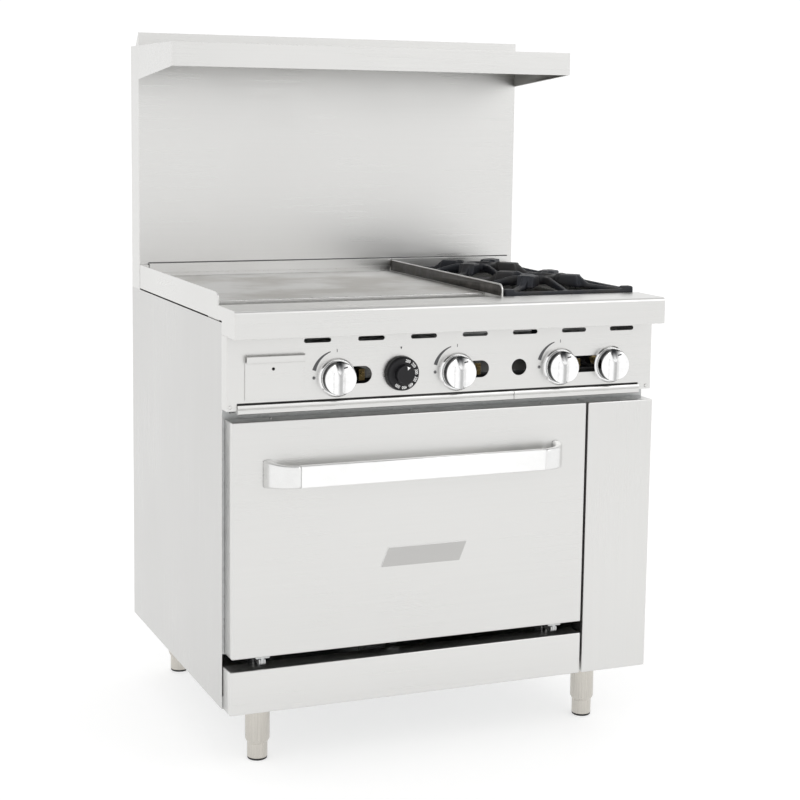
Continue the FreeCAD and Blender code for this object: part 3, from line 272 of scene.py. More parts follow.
def turned(name, tone, rough=0.22):
    """Tube polished along its length: streaks that run up and down."""
    look = Look(name, metallic=1.0)
    streaks = look.noise(1.1 * MM, 3.0, (1, 1, 90))
    look.colour(look.mixed(look.spread(streaks, 0, 1), shade(tone, 0.90), shade(tone, 1.06)))
    look.roughness(look.spread(streaks, rough - 0.05, rough + 0.10))
    look.bump(streaks, 0.03 * MM, 0.6)
    return look.material


def painted_shade_film(name, tone):
    """Painted shade and reflection: a dark, patchy film on sheet steel."""
    look = Look(name, metallic=0.6)
    patches = look.noise(22 * MM, 5.0)
    look.colour(look.mixed(look.spread(patches, 0, 1, 0.35, 0.75), tone, shade(tone, 2.6)))
    look.roughness(look.spread(patches, 0.34, 0.58))
    look.bump(look.noise(2.2 * MM, 3.0), 0.08 * MM, 0.5)
    return look.material


def satin(name, tone, rough=0.30):
    """Bead-blasted or die-cast alloy: even, fine and matt."""
    look = Look(name, metallic=1.0)
    blast = look.noise(0.5 * MM, 2.0)
    clouds = look.noise(30 * MM, 3.0)
    look.colour(look.mixed(look.spread(clouds, 0, 1), shade(tone, 0.97), shade(tone, 1.02)))
    look.roughness(look.combine("ADD", look.spread(blast, rough - 0.04, rough + 0.06),
                                look.spread(clouds, -0.02, 0.03)))
    look.bump(blast, 0.02 * MM, 0.4)
    return look.material


def cast_iron(name, tone, gloss=0.48):
    """Sand-cast iron: pitted skin, blue-black, drier where the flame has burnt it."""
    look = Look(name, metallic=0.35)
    grain = look.noise(1.6 * MM, 4.0)
    lumps = look.noise(11 * MM, 3.0)
    burnt = look.noise(70 * MM, 4.0)
    look.colour(look.mixed(look.spread(burnt, 0, 1, 0.45, 0.7), tone, BURNT_IRON))
    look.roughness(look.combine("ADD", look.spread(grain, gloss - 0.08, gloss + 0.16),
                                look.spread(burnt, -0.06, 0.10)))
    look.bump(look.combine("ADD", look.combine("MULTIPLY", grain, 0.45), lumps), 0.5 * MM, 0.7)
    return look.material


def enamel(name, tone):
    """Vitreous enamel: glassy, dark, with fine pale flecks."""
    look = Look(name)
    flecks = look.cells(5 * MM).outputs["Distance"]
    look.colour(look.mixed(look.spread(flecks, 1, 0, 0.08, 0.16), tone, FLECK_GREY))
    look.roughness(look.spread(look.noise(40 * MM, 3.0), 0.16, 0.30))
    look.bump(look.noise(18 * MM, 2.0), 0.15 * MM, 0.3)
    return look.material


def moulded(name, tone, rough=0.34):
    """Phenolic or painted black, slightly orange-peeled."""
    look = Look(name)
    peel = look.noise(1.8 * MM, 2.0)
    handled = look.noise(25 * MM, 3.0)
    look.colour(look.mixed(look.spread(handled, 0, 1), tone, shade(tone, 1.9)))
    look.roughness(look.combine("ADD", look.spread(peel, rough - 0.04, rough + 0.06),
                                look.spread(handled, -0.05, 0.08)))
    look.shader.inputs["Specular IOR Level"].default_value = 0.3
    look.bump(peel, 0.05 * MM, 0.4)
    return look.material


def wool(name, tone):
    """Mineral wool: matted fibres with denser, browner streaks."""
    look = Look(name)
    fibres = look.noise(1.5 * MM, 6.0, (12, 1, 5))
    mats = look.noise(35 * MM, 4.0)
    look.colour(look.mixed(look.spread(look.combine("MULTIPLY", fibres, mats), 0, 1, 0.1, 0.4),
                           shade(tone, 0.6), shade(tone, 1.1)))
    look.roughness(look.spread(fibres, 0.85, 1.0))
    look.bump(look.combine("ADD", fibres, mats), 3 * MM, 0.9)
    return look.material


def printed(name, tone):
    """Screen-printed ink, a little thin in places."""
    look = Look(name)
    thin = look.noise(1.2 * MM, 3.0)
    look.colour(look.mixed(look.spread(thin, 0, 1, 0.5, 0.8), tone, shade(tone, 1.5)))
    look.roughness(look.spread(thin, 0.42, 0.6))
    look.bump(thin, 0.02 * MM, 0.3)
    return look.material


STEEL = {axis: brushed("stainless_grain_" + axis.lower(), STEEL_TONE, axis) for axis in GRAINS}
STEEL_EDGE = worn_edge("stainless_edge", STEEL_TONE)
# painted shade: a darker copy of the brushed stainless for the side and rear panels
SIDE_SHADED_STEEL = brushed("stainless_side_painted_shade", SIDE_SHADE_TONE, "Z")
BADGE_STEEL = brushed("badge_steel", BADGE_TONE, "X", 0.34)
# painted shade and reflection on the griddle's right splash wall
WALL_SHADE_FILM = painted_shade_film("painted_shade_film", WALL_SHADE_TONE)
# painted shade and reflection: a dark brushed steel for the plates inside the shelf's gussets
GUSSET_SHADE_STEEL = brushed("gusset_painted_shade", GUSSET_SHADE_TONE, "Y", 0.4, 0.12)
RUBBER = moulded("foot_rubber", RUBBER_BLACK, 0.7)
CHROME = polished("knob_chrome", CHROME_TONE)
# the knob grips' chrome, darkened by each vertex's painted shade and reflection
KNOB_CHROME = shaded_chrome("knob_grip_chrome", KNOB_TONE, KNOB_PAINTED_SHADE)
ALLOY = satin("handle_alloy", CAST_ALLOY_TONE, 0.24)
INK = printed("console_ink", INK_GREY)
INK_LIGHT = printed("console_ink_grey", INK_LIGHT_GREY)
DIAL_PRINT = printed("dial_print", PRINT_WHITE)
IRON = cast_iron("cast_iron", IRON_BLACK)

# The body and the edge material of each of the record's slots.
SLOT_LOOKS = {
    "stainless": (STEEL["X"], STEEL_EDGE),
    "galvanised": (galvanised("galvanised", GALVANISED_TONE),
                   worn_edge("galvanised_edge", GALVANISED_TONE, 0.3)),
    "leg_steel": (turned("leg_steel", LEG_TONE), worn_edge("leg_edge", LEG_TONE)),
    "griddle_steel": (ground_plate("griddle_steel", GRIDDLE_TONE), worn_edge("griddle_edge", GRIDDLE_TONE)),
    "cast_iron": (IRON, cast_iron("cast_iron_edge", shade(IRON_BLACK, 1.8), 0.4)),
    "enamel": (enamel("enamel", ENAMEL_BLACK), enamel("enamel_edge", shade(ENAMEL_BLACK, 1.6))),
    "wire_chrome": (polished("wire_chrome", CHROME_TONE, 0.12), polished("wire_chrome_edge", CHROME_TONE)),
    "knob_chrome": (CHROME, polished("chrome_edge", CHROME_TONE, 0.04)),
    "dial_black": (moulded("dial_black", PLASTIC_BLACK),
                   moulded("dial_edge", shade(PLASTIC_BLACK, 2.2), 0.26)),
    "brass": (satin("brass", BRASS_TONE, 0.26), worn_edge("brass_edge", BRASS_TONE)),
    "pipe_black": (moulded("pipe_black", PAINT_BLACK, 0.5), worn_edge("pipe_edge", GALVANISED_TONE, 0.4)),
    "tube_aluminium": (satin("tube_aluminium", ALUMINIUM_TONE, 0.3), worn_edge("tube_edge", ALUMINIUM_TONE)),
    "handle_satin": (satin("handle_satin", SATIN_TONE, 0.3), worn_edge("handle_edge", SATIN_TONE)),
    "handle_cast": (ALLOY, worn_edge("handle_cast_edge", CAST_ALLOY_TONE)),
    "insulation": (wool("insulation", WOOL_YELLOW), wool("insulation_edge", shade(WOOL_YELLOW, 0.9))),
    "screw_steel": (polished("screw_steel", STEEL_TONE, 0.18), worn_edge("screw_edge", STEEL_TONE)),
}

# Nodes that look different from the rest of their slot.
BODY_OF = {"left_side_panel": SIDE_SHADED_STEEL, "right_side_panel": SIDE_SHADED_STEEL, "rear_panel": SIDE_SHADED_STEEL,
           "right_pillar": STEEL["Z"], "griddle_splash_guard": STEEL["Y"], "door_badge": BADGE_STEEL,
           # painted shade: the pilots' brass darkened to a tenth for the dark inside the sight holes
           "pilot_burners": satin("brass_painted_shade", shade(BRASS_TONE, 0.10), 0.42)}


def slot_of(name):
    return nodes[name].data.materials[0].name.split(".")[0]


def looks_of(name, slot):
    body, edge = SLOT_LOOKS[slot]
    return BODY_OF.get(name, body), edge


# --- CAD nodes that stay ------------------------------------------------------------------------

EDGE = 0.5 * MM              # broken edge on sheet and machined parts
EDGE_OF = {"front_rail": 1.2 * MM, "high_shelf": 0.7 * MM, "griddle_plate": 1.5 * MM,
           "door_insulation": 6 * MM, "oven_insulation": 6 * MM}
SHARP_ANGLE = math.radians(38)
FLAT_ANGLE = math.radians(0.5)
EDGE_SEGMENTS = 2
WELD_REACH = 0.005 * MM


def dress_node(name):
    """Gives a CAD node its material, smooth shading and slightly rounded, rubbed edges."""
    held = nodes[name]
    mesh = held.data
    slot = slot_of(name)
    for attribute in ("custom_normal", "sharp_edge", "sharp_face"):
        if attribute in mesh.attributes:
            mesh.attributes.remove(mesh.attributes[attribute])
    mesh.shade_smooth()
    mesh.materials.clear()
    for look in looks_of(name, slot):
        mesh.materials.append(look)
    round_edges(held, EDGE_OF.get(name, EDGE))


def round_edges(held, width):
    weld = held.modifiers.new("weld", "WELD")
    weld.merge_threshold = WELD_REACH
    flat = held.modifiers.new("flat", "DECIMATE")
    flat.decimate_type = "DISSOLVE"
    flat.angle_limit = FLAT_ANGLE
    bevel = held.modifiers.new("edges", "BEVEL")
    bevel.width = width
    bevel.segments = EDGE_SEGMENTS
    bevel.limit_method = "ANGLE"
    bevel.angle_limit = SHARP_ANGLE
    bevel.harden_normals = True
    bevel.material = 1


for node_name in nodes:
    dress_node(node_name)


# --- Mesh helpers -------------------------------------------------------------------------------

def span(name):
    """A node's box as ((x low, x high), (y low, y high), (z low, z high))."""
    low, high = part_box(name)
    return tuple(zip(low, high))


def centre(name):
    low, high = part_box(name)
    return (low + high) / 2


def piece(name, bm, body, slot, looks=None, replaces=()):
    """Makes an object of the mesh bm, riding on body, with the slot's materials or its own."""
    bmesh.ops.recalc_face_normals(bm, faces=bm.faces)
    mesh = bpy.data.meshes.new(name)
    bm.to_mesh(mesh)
    bm.free()
    mesh.shade_smooth()
    for look in looks or SLOT_LOOKS[slot]:
        mesh.materials.append(look)
    made = bpy.data.objects.new(name, mesh)
    bpy.context.scene.collection.objects.link(made)
    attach(made, body)
    for node in replaces:
        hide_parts(node)
    return made


def applied(made):
    """Turns an object's modifiers into plain mesh."""
    evaluated = made.evaluated_get(bpy.context.evaluated_depsgraph_get())
    mesh = bpy.data.meshes.new_from_object(evaluated)
    made.modifiers.clear()
    made.data = mesh


def loft(bm, rings, endless=False):
    """Skins rings of points, each a closed loop of the same length; endless joins the last to the first."""
    made = [[bm.verts.new(point) for point in ring] for ring in rings]
    pairs = list(zip(made, made[1:]))
    if endless:
        pairs.append((made[-1], made[0]))
    for first, second in pairs:
        for i in range(len(first)):
            j = (i + 1) % len(first)
            bm.faces.new((first[i], first[j], second[j], second[i]))
    if not endless:
        bm.faces.new(made[0])
        bm.faces.new(made[-1])


def ribbon(bm, columns):
    """Skins a row of point pairs."""
    made = [[bm.verts.new(point) for point in column] for column in columns]
    for first, second in zip(made, made[1:]):
        bm.faces.new((first[0], first[1], second[1], second[0]))


def rounded_box(bm, low, high, radius, segments=3, without=()):
    """A box with every edge rounded. Faces whose outward direction is in without are left open."""
    made = bmesh.ops.create_cube(bm, size=1.0)["verts"]
    for vert in made:
        vert.co = Vector([low[i] + (vert.co[i] + 0.5) * (high[i] - low[i]) for i in range(3)])
    faces = {face for vert in made for face in vert.link_faces}
    bmesh.ops.recalc_face_normals(bm, faces=list(faces))
    gone = [f for f in faces for side in without if f.normal.dot(Vector(side)) > 0.9]
    bmesh.ops.delete(bm, geom=gone, context="FACES_KEEP_BOUNDARY")
    edges = [e for e in {e for v in made for e in v.link_edges} if len(e.link_faces) == 2]
    bmesh.ops.bevel(bm, geom=edges, offset=radius, segments=segments, profile=0.5, affect="EDGES")


def arc(centre_x, centre_y, radius_x, radius_y, start, end, steps):
    """Points of an elliptical arc, angles in degrees."""
    found = []
    for i in range(steps + 1):
        angle = math.radians(start + (end - start) * i / steps)
        found.append((centre_x + radius_x * math.cos(angle), centre_y + radius_y * math.sin(angle)))
    return found


def rounded_outline(low, high, radius, steps=4):
    """A rectangle's outline with round corners, as (u, v) points."""
    (u0, v0), (u1, v1) = low, high
    points = []
    for u, v, start in ((u1 - radius, v0 + radius, -90), (u1 - radius, v1 - radius, 0),
                        (u0 + radius, v1 - radius, 90), (u0 + radius, v0 + radius, 180)):
        points += arc(u, v, radius, radius, start, start + 90, steps)
    return points


# --- Door, kick plate and pillar ----------------------------------------------------------------

FOLD = 3 * MM
FOLD_SEGMENTS = 4
SHEET = 1.2 * MM
BACK = (0, 1, 0)


def folded_front(node):
    """A sheet folded into a pan in the node's box: rounded folds outside, open at the back."""
    bm = bmesh.new()
    rounded_box(bm, *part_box(node), FOLD, FOLD_SEGMENTS, (BACK,))
    made = piece(node + "_folded", bm, nodes[node]["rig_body"], "stainless", looks_of(node, "stainless"),
                 (node,))
    wall = made.modifiers.new("wall", "SOLIDIFY")
    wall.thickness = SHEET
    wall.offset = -1
    applied(made)


folded_front("door_outer_skin")
folded_front("kick_plate")
folded_front("right_pillar")


# --- Door handle --------------------------------------------------------------------------------

SECTION_STEPS = 5
BRACKET_STEPS = 14
ROOT_THICKENING = 0.3        # how much thicker the bracket's wall is at its root, as a share
ROUND_LIMIT = 0.45           # the most of the wall that a rounding takes
HANDLE_FLARE = 6 * MM        # how much higher and lower the bracket's root is than the bar
BRACKET_ROUND = 5 * MM
BAR_ROUND = 3.5 * MM
BAR_GAP = 0.5 * MM           # the visible seam between bar and bracket


def handle_bar():
    (x0, x1), (y0, y1), (z0, z1) = span("door_handle_bar")
    bm = bmesh.new()
    outline = rounded_outline((y0, z0), (y1, z1), BAR_ROUND, SECTION_STEPS)
    inset = rounded_outline((y0 + BAR_GAP, z0 + BAR_GAP), (y1 - BAR_GAP, z1 - BAR_GAP), BAR_ROUND - BAR_GAP,
                            SECTION_STEPS)
    stations = [(x0, inset), (x0 + BAR_GAP, outline), (x1 - BAR_GAP, outline), (x1, inset)]
    loft(bm, [[(x, y, z) for y, z in ring] for x, ring in stations])
    piece("handle_bar", bm, "door", "handle_satin", replaces=("door_handle_bar",))


def handle_bracket(side):
    """The mesh of a quarter turn from the bar's end back to the door, flaring where it lands."""
    (bar_x0, bar_x1), (y0, y1), (z0, z1) = span("door_handle_bar")
    (out_x0, out_x1), (_, root_y), _ = span("door_handle_brackets")
    bar_end, outer = (bar_x0, out_x0) if side < 0 else (bar_x1, out_x1)
    middle_z, half = (z0 + z1) / 2, (z1 - z0) / 2
    reach = abs(outer - bar_end)
    depth = root_y - y0
    wall = y1 - y0
    rings = []
    for i in range(BRACKET_STEPS + 1):
        turn = math.pi / 2 * i / BRACKET_STEPS
        grow = (i / BRACKET_STEPS) ** 2
        face_x = bar_end + side * reach * math.sin(turn)
        face_y = root_y - depth * math.cos(turn)
        inner_x = bar_end + side * (reach - wall * (1 + ROOT_THICKENING * grow)) * math.sin(turn)
        inner_y = root_y - (depth - wall) * math.cos(turn)
        across = Vector((inner_x - face_x, inner_y - face_y))
        thick = across.length
        across.normalize()
        tall = half + HANDLE_FLARE * grow
        round_here = min(BRACKET_ROUND, thick * ROUND_LIMIT)
        section = rounded_outline((0, -tall), (thick, tall), round_here, SECTION_STEPS)
        rings.append([(face_x + across.x * u, face_y + across.y * u, middle_z + v) for u, v in section])
    bm = bmesh.new()
    loft(bm, rings)
    return bm


def handle_brackets():
    for side, name in ((-1, "handle_bracket_left"), (1, "handle_bracket_right")):
        made = piece(name, handle_bracket(side), "door", "handle_cast")
        if side < 0:
            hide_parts("door_handle_brackets")


handle_bar()
handle_brackets()


# --- Knobs --------------------------------------------------------------------------------------

KNOB_RINGS = 24
KNOB_SPOKES = 84
RIM_ROUND_LOW = 2.0 * MM     # rounding of the grip's rim at the bottom
RIM_ROUND_HIGH = 4.6 * MM    # and at the top
RIM_TURNS = (18, 36, 54, 72, 90)   # degrees round the rim at which it has a ring
RIM_PAINTED_SHADE = 0.95             # painted shade: how dark the rim is painted where it has turned away from the front
RIDGE_HALF = 4.2 * MM
RIDGE_CREST = 0.4 * MM       # how far the ridge is behind the foremost plane
SCOOP_DEPTH = 5.5 * MM
SCOOP_AT, SCOOP_WIDTH = 0.30, 0.17   # of the radius
SHADOW_AT, SHADOW_WIDTH = 0.28, 0.05   # a painted shadow: the thin line in the right scoop, of the radius
# how dark the painted shadow line is
PAINTED_SHADOW_DEPTH = 0.25
NOTCH_DEPTH = 9.5 * MM
DOME_DROP = 1.6 * MM
SKIRT_RINGS = ((0.985, 3 * MM, 0.97), (1, 2 * MM, 0.5), (1, 0, 0.1))   # share of radius, height, painted shade
BEZEL_GAP = 0.8 * MM
MARK_FROM, MARK_TO, MARK_UP = 0.20, 0.42, 0.62   # the painted line, of the radius
MARK_HALF, MARK_SLOPE, MARK_LIFT = 0.04, 0.3, 0.15 * MM
MARK_STEPS = 6


def smooth_step(value, start, end):
    t = min(1.0, max(0.0, (value - start) / (end - start)))
    return t * t * (3 - 2 * t)


def bell(distance, width, power=2):
    """1 at distance 0, falling to nothing past width; a higher power squares its shoulders."""
    return math.exp(-((distance / width) ** power))


def knob_front(u, v, radius):
    """How far the grip's front is behind its foremost plane at u across and v up from the axis."""
    fall = smooth_step(v, 0.05 * radius, 1.0 * radius)
    ridge = bell(abs(u), RIDGE_HALF * (1 + 1.1 * fall), 4)
    crest = RIDGE_CREST + NOTCH_DEPTH * fall
    low = SCOOP_DEPTH * bell(abs(u) / radius - SCOOP_AT, SCOOP_WIDTH) * (1 - 0.75 * fall)
    dome = DOME_DROP * (u * u + v * v) / (radius * radius)
    return low * (1 - ridge) + crest * ridge + dome


def knob_painted_shade(u, v, radius):
    """The painted shade on the grip's front: the ridge is grey, and black where it drops away at the top,
    with a painted shadow line in the right scoop.
    """
    fall = smooth_step(v, 0.30 * radius, 0.85 * radius)
    ridge = bell(abs(u), RIDGE_HALF * (1 + 1.3 * smooth_step(v, 0.05 * radius, radius)), 4)
    shadow = PAINTED_SHADOW_DEPTH * bell(u - SHADOW_AT * radius, SHADOW_WIDTH * radius)
    shadow *= smooth_step(-v, -0.6 * radius, 0)
    return min(1.0, ridge * (0.50 + 0.50 * fall) + shadow)


def knob(name):
    """A die-cast grip: round, two finger scoops and a ridge that falls away towards the pointer."""
    middle = centre(name)
    (x0, x1), (y0, _), _ = span(name)
    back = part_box("knob_bezels")[0].y - BEZEL_GAP
    radius = (x1 - x0) / 2
    spokes = [FULL_TURN * k / KNOB_SPOKES for k in range(KNOB_SPOKES)]
    rounding = [RIM_ROUND_LOW + (RIM_ROUND_HIGH - RIM_ROUND_LOW) * smooth_step(math.cos(a), -0.2, 0.9)
                for a in spokes]
    rings = []
    for i in range(1, KNOB_RINGS + 1):
        ring = []
        for a, rim in zip(spokes, rounding):
            r = (radius - rim) * i / KNOB_RINGS
            u, v = r * math.sin(a), r * math.cos(a)
            ring.append((r, y0 + knob_front(u, v, radius), knob_painted_shade(u, v, radius)))
        rings.append(ring)
    edge = rings[-1]
    for turn in RIM_TURNS:
        t = math.radians(turn)
        dark = RIM_PAINTED_SHADE * t * 2 / math.pi * smooth_step(turn, 30, 80)
        rings.append([(radius - rim * (1 - math.sin(t)), y + rim * (1 - math.cos(t)), max(stain, dark))
                      for (_, y, stain), rim in zip(edge, rounding)])
    for share, height, stain in SKIRT_RINGS:
        rings.append([(radius * share, back - height, stain)] * KNOB_SPOKES)
    bm = bmesh.new()
    # each vertex holds how much painted shade it gets
    layer = bm.verts.layers.float.new(PAINTED_SHADE_ATTRIBUTE)
    made = [[bm.verts.new((middle.x + r * math.sin(a), y, middle.z + r * math.cos(a)))
             for (r, y, _), a in zip(ring, spokes)] for ring in rings]
    for ring, verts in zip(rings, made):
        for (_, _, stain), vert in zip(ring, verts):
            vert[layer] = stain
    hub = bm.verts.new((middle.x, y0 + knob_front(0, 0, radius), middle.z))
    hub[layer] = knob_painted_shade(0, 0, radius)
    for k in range(KNOB_SPOKES):
        after = (k + 1) % KNOB_SPOKES
        bm.faces.new((hub, made[0][k], made[0][after]))
        for inner, outer in zip(made, made[1:]):
            bm.faces.new((inner[k], outer[k], outer[after], inner[after]))
    bm.faces.new(made[-1])
    body = nodes[name]["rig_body"]
    piece(name + "_grip", bm, body, "knob_chrome", (KNOB_CHROME,), (name,))
    knob_mark(name, middle, y0, radius, body)


def knob_mark(name, middle, front, radius, body):
    """The black line painted on the right lobe near its top, following the surface."""
    bm = bmesh.new()
    u_from, u_to = MARK_FROM * radius, MARK_TO * radius
    v_mid, half = MARK_UP * radius, MARK_HALF * radius
    columns = []
    for i in range(MARK_STEPS + 1):
        u = u_from + (u_to - u_from) * i / MARK_STEPS
        rise = MARK_SLOPE * (u - u_from)
        columns.append([(middle.x + u, front + knob_front(u, v, radius) - MARK_LIFT, middle.z + v)
                        for v in (v_mid - half + rise, v_mid + half + rise)])
    ribbon(bm, columns)
    piece(name + "_mark", bm, body, "dial_black", (INK,))


for knob_name in ("knob_1", "knob_2", "knob_3", "knob_4"):
    knob(knob_name)


# --- Printing on the console and the dial ---------------------------------------------------------

PRINT_LIFT = 0.12 * MM
CRESCENT = (-72, -15)        # from the wide end to the thin end, degrees clockwise from the top
CRESCENT_OUTER = 53 * MM
CRESCENT_WIDE, CRESCENT_THIN = 8 * MM, 1.8 * MM
CRESCENT_STEPS = 16
STAR_OFFSET = (-47 * MM, 1 * MM)
STAR_CORNERS = 16
STAR_RADII = (2.2 * MM, 4.6 * MM)
TICK_OFFSET = 52 * MM
TICK_HALF, TICK_TALL = 0.7 * MM, 3 * MM
INDEX = ((-1.6, 50), (0, 46.5), (1.6, 50), (1.6, 52), (-1.6, 52))   # mm from the dial's axis


def clockwise(radius, degrees):
    """A point (u, v) at an angle clockwise from the top."""
    turn = math.radians(degrees)
    return radius * math.sin(turn), radius * math.cos(turn)


def flat_shape(bm, middle, y, outline):
    """One flat face at depth y, from (u, v) points round the middle."""
    bm.faces.new([bm.verts.new((middle[0] + u, y, middle[2] + v)) for u, v in outline])


def knob_print(name):
    """The flame setting arc, the pilot star and the off tick round one knob."""
    middle = centre(name)
    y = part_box("control_panel")[0].y - PRINT_LIFT
    bm = bmesh.new()
    wide, thin = CRESCENT
    pairs = []
    for i in range(CRESCENT_STEPS + 1):
        t = i / CRESCENT_STEPS
        angle = wide + (thin - wide) * t
        inner = CRESCENT_OUTER - (CRESCENT_WIDE + (CRESCENT_THIN - CRESCENT_WIDE) * t)
        pairs.append([(middle.x + u, y, middle.z + v)
                      for u, v in (clockwise(inner, angle), clockwise(CRESCENT_OUTER, angle))])
    ribbon(bm, pairs)
    star = [clockwise(STAR_RADII[k % 2], 360 / STAR_CORNERS * k) for k in range(STAR_CORNERS)]
    flat_shape(bm, middle, y, [(u + STAR_OFFSET[0], v + STAR_OFFSET[1]) for u, v in star])
    low, high = TICK_OFFSET - TICK_TALL, TICK_OFFSET + TICK_TALL
    flat_shape(bm, middle, y, [(-TICK_HALF, low), (TICK_HALF, low), (TICK_HALF, high), (-TICK_HALF, high)])
    piece(name + "_print", bm, "root", "dial_black", (INK_LIGHT,))


def dial_tick():
    """The black index mark on the console above the dial."""
    middle = centre("thermostat_dial")
    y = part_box("control_panel")[0].y - PRINT_LIFT
    bm = bmesh.new()
    flat_shape(bm, middle, y, [(u * MM, v * MM) for u, v in INDEX])
    piece("dial_index", bm, "root", "dial_black", (INK,))


DIAL_NUMBERS = ("200", "250", "300", "350", "400", "450", "500")
DIAL_FIRST, DIAL_STEP = 18, 32
DIGIT_HEIGHT = 5.6 * MM
DIGIT_WEIGHT = 0.16 * MM     # by which each stroke is thickened
DIGIT_NARROWING = 0.86
CAPITAL_SHARE = 0.7          # of the type's size that a figure is tall
DIGIT_RADIUS = 26 * MM
SKIRT_FRONT = 12 * MM        # how far the skirt's front is behind the boss's
POINTER = ((16.2, 8), (16.2, 32), (9.5, 20))   # mm from the axis, degrees clockwise from the top


def letters(text, height):
    """Flat triangles of a short text, centred, as a bmesh in x and y."""
    curve = bpy.data.curves.new("text", "FONT")
    curve.body = text
    curve.size = height / CAPITAL_SHARE
    curve.offset = DIGIT_WEIGHT
    curve.align_x = "CENTER"
    curve.align_y = "CENTER"
    held = bpy.data.objects.new("text", curve)
    bpy.context.scene.collection.objects.link(held)
    mesh = bpy.data.meshes.new_from_object(held.evaluated_get(bpy.context.evaluated_depsgraph_get()))
    bm = bmesh.new()
    bm.from_mesh(mesh)
    bpy.data.objects.remove(held)
    bpy.data.curves.remove(curve)
    bpy.data.meshes.remove(mesh)
    return bm


def dial_print():
    """Temperatures round the skirt and the pointer on the boss."""
    middle = centre("thermostat_dial")
    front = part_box("thermostat_dial")[0].y
    y = front + SKIRT_FRONT - PRINT_LIFT
    whole = bmesh.new()
    for i, text in enumerate(DIAL_NUMBERS):
        turn = math.radians(DIAL_FIRST + DIAL_STEP * i)
        word = letters(text, DIGIT_HEIGHT)
        right, up = Vector((math.cos(turn), -math.sin(turn))), Vector((math.sin(turn), math.cos(turn)))
        for vert in word.verts:
            flat = right * vert.co.x * DIGIT_NARROWING + up * (vert.co.y + DIGIT_RADIUS)
            vert.co = Vector((middle.x + flat.x, y, middle.z + flat.y))
        joined = bpy.data.meshes.new("word")
        word.to_mesh(joined)
        word.free()
        whole.from_mesh(joined)
        bpy.data.meshes.remove(joined)
    flat_shape(whole, middle, front - PRINT_LIFT, [clockwise(r * MM, degrees) for r, degrees in POINTER])
    body = nodes["thermostat_dial"]["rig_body"]
    piece("dial_print", whole, body, "dial_black", (DIAL_PRINT,))


for knob_name in ("knob_1", "knob_2", "knob_3"):
    knob_print(knob_name)
dial_tick()
dial_print()


# --- Griddle wall, feet and burners ---------------------------------------------------------------

FILM_THICK = 0.35 * MM
FILM_TOP_GAP = 1.6 * MM      # between the film and the wall's top edge
FILM_FRONT, FILM_BACK = 6 * MM, 5 * MM   # how far the film stops short of the wall's ends
FILM_CORNER = 13 * MM
FILM_LIFT = 0.4 * MM         # off the plate
FILM_TURNS = (90, 112, 135, 158, 180)
GLIDE_SPOKES = 48
GLIDE_PROFILE = ((-6, 0.2), (-2.6, 0.2), (-0.9, 1.6), (-0.3, 4.4), (-1.6, 5.0), (-6, 1.2))   # mm off rim, up
CAP_SPOKES = 96
CAP_PROFILE = ((15, 0.2), (44, -1.2), (46, 1.4), (38, 3.4), (22, 3.8), (15, 2.6))   # mm out, over the head
TOOTH = 1.0 * MM
TOOTH_FROM = 40 * MM         # from this radius out, the cap's rim is toothed


def griddle_wall_shade():
    """Painted shade and reflection: a dark film on the inner face of the splash guard's right wall, above the
    plate.
    """
    _, (y0, y1), (_, z1) = span("griddle_splash_guard")
    _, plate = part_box("griddle_plate")
    low, top, back = plate.z + FILM_LIFT, z1 - FILM_TOP_GAP, y1 - FILM_BACK
    corner_y, corner_z = y0 + 15 * MM, top - 14 * MM
    outline = [(y0 + FILM_FRONT, low), (back, low), (back, top)]
    outline += [(corner_y + FILM_CORNER * math.cos(math.radians(t)),
                 corner_z + FILM_CORNER * math.sin(math.radians(t))) for t in FILM_TURNS]
    bm = bmesh.new()
    loft(bm, [[(x, y, z) for y, z in outline] for x in (plate.x - FILM_THICK, plate.x)])
    piece("griddle_wall_painted_shade", bm, "root", "stainless", (WALL_SHADE_FILM,))


def lathe(bm, middle, outline, spokes, tooth=0.0):
    """Turns (radius, z) points about the vertical through middle, with gaps of tooth's depth in its rim."""
    rings = []
    for r, z in outline:
        ring = []
        for k in range(spokes):
            angle = FULL_TURN * k / spokes
            reach = r - tooth if r > TOOTH_FROM and k % 4 < 2 else r
            ring.append((middle.x + reach * math.cos(angle), middle.y + reach * math.sin(angle), z))
        rings.append(ring)
    loft(bm, rings, endless=True)


def foot_tip(foot):
    """The black plastic glide that the foot's flange stands in."""
    middle = centre(foot)
    (x0, x1), _, _ = span(foot)
    radius = (x1 - x0) / 2
    bm = bmesh.new()
    lathe(bm, middle, [(radius + r * MM, z * MM) for r, z in GLIDE_PROFILE], GLIDE_SPOKES)
    piece(foot + "_glide", bm, nodes[foot]["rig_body"], "leg_steel", (RUBBER,))


def burner_cap(name, grate):
    """A loose cast cap with a slanted edge, sitting on the burner head under its grate."""
    middle = centre(grate)
    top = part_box("open_burners")[1].z
    bm = bmesh.new()
    lathe(bm, middle, [(r * MM, top + z * MM) for r, z in CAP_PROFILE], CAP_SPOKES, TOOTH)
    piece(name, bm, "root", "cast_iron", (IRON,))


GAP_SHADE_IN = 1 * MM             # how far the painted shade strip stops short of the trays' outer sides
GAP_SHADE_SET_BACK, GAP_SHADE_DEPTH = 0.6 * MM, 22 * MM   # its front and back, behind the panel's face
GAP_SHADE_LOW, GAP_SHADE_HIGH = 1.0 * MM, 3.4 * MM        # over the trays
GAP_SHADE_ROUND = 0.5 * MM
BEAD_WIDE, BEAD_TALL, BEAD_ROUND = 2.4 * MM, 1.9 * MM, 0.7 * MM


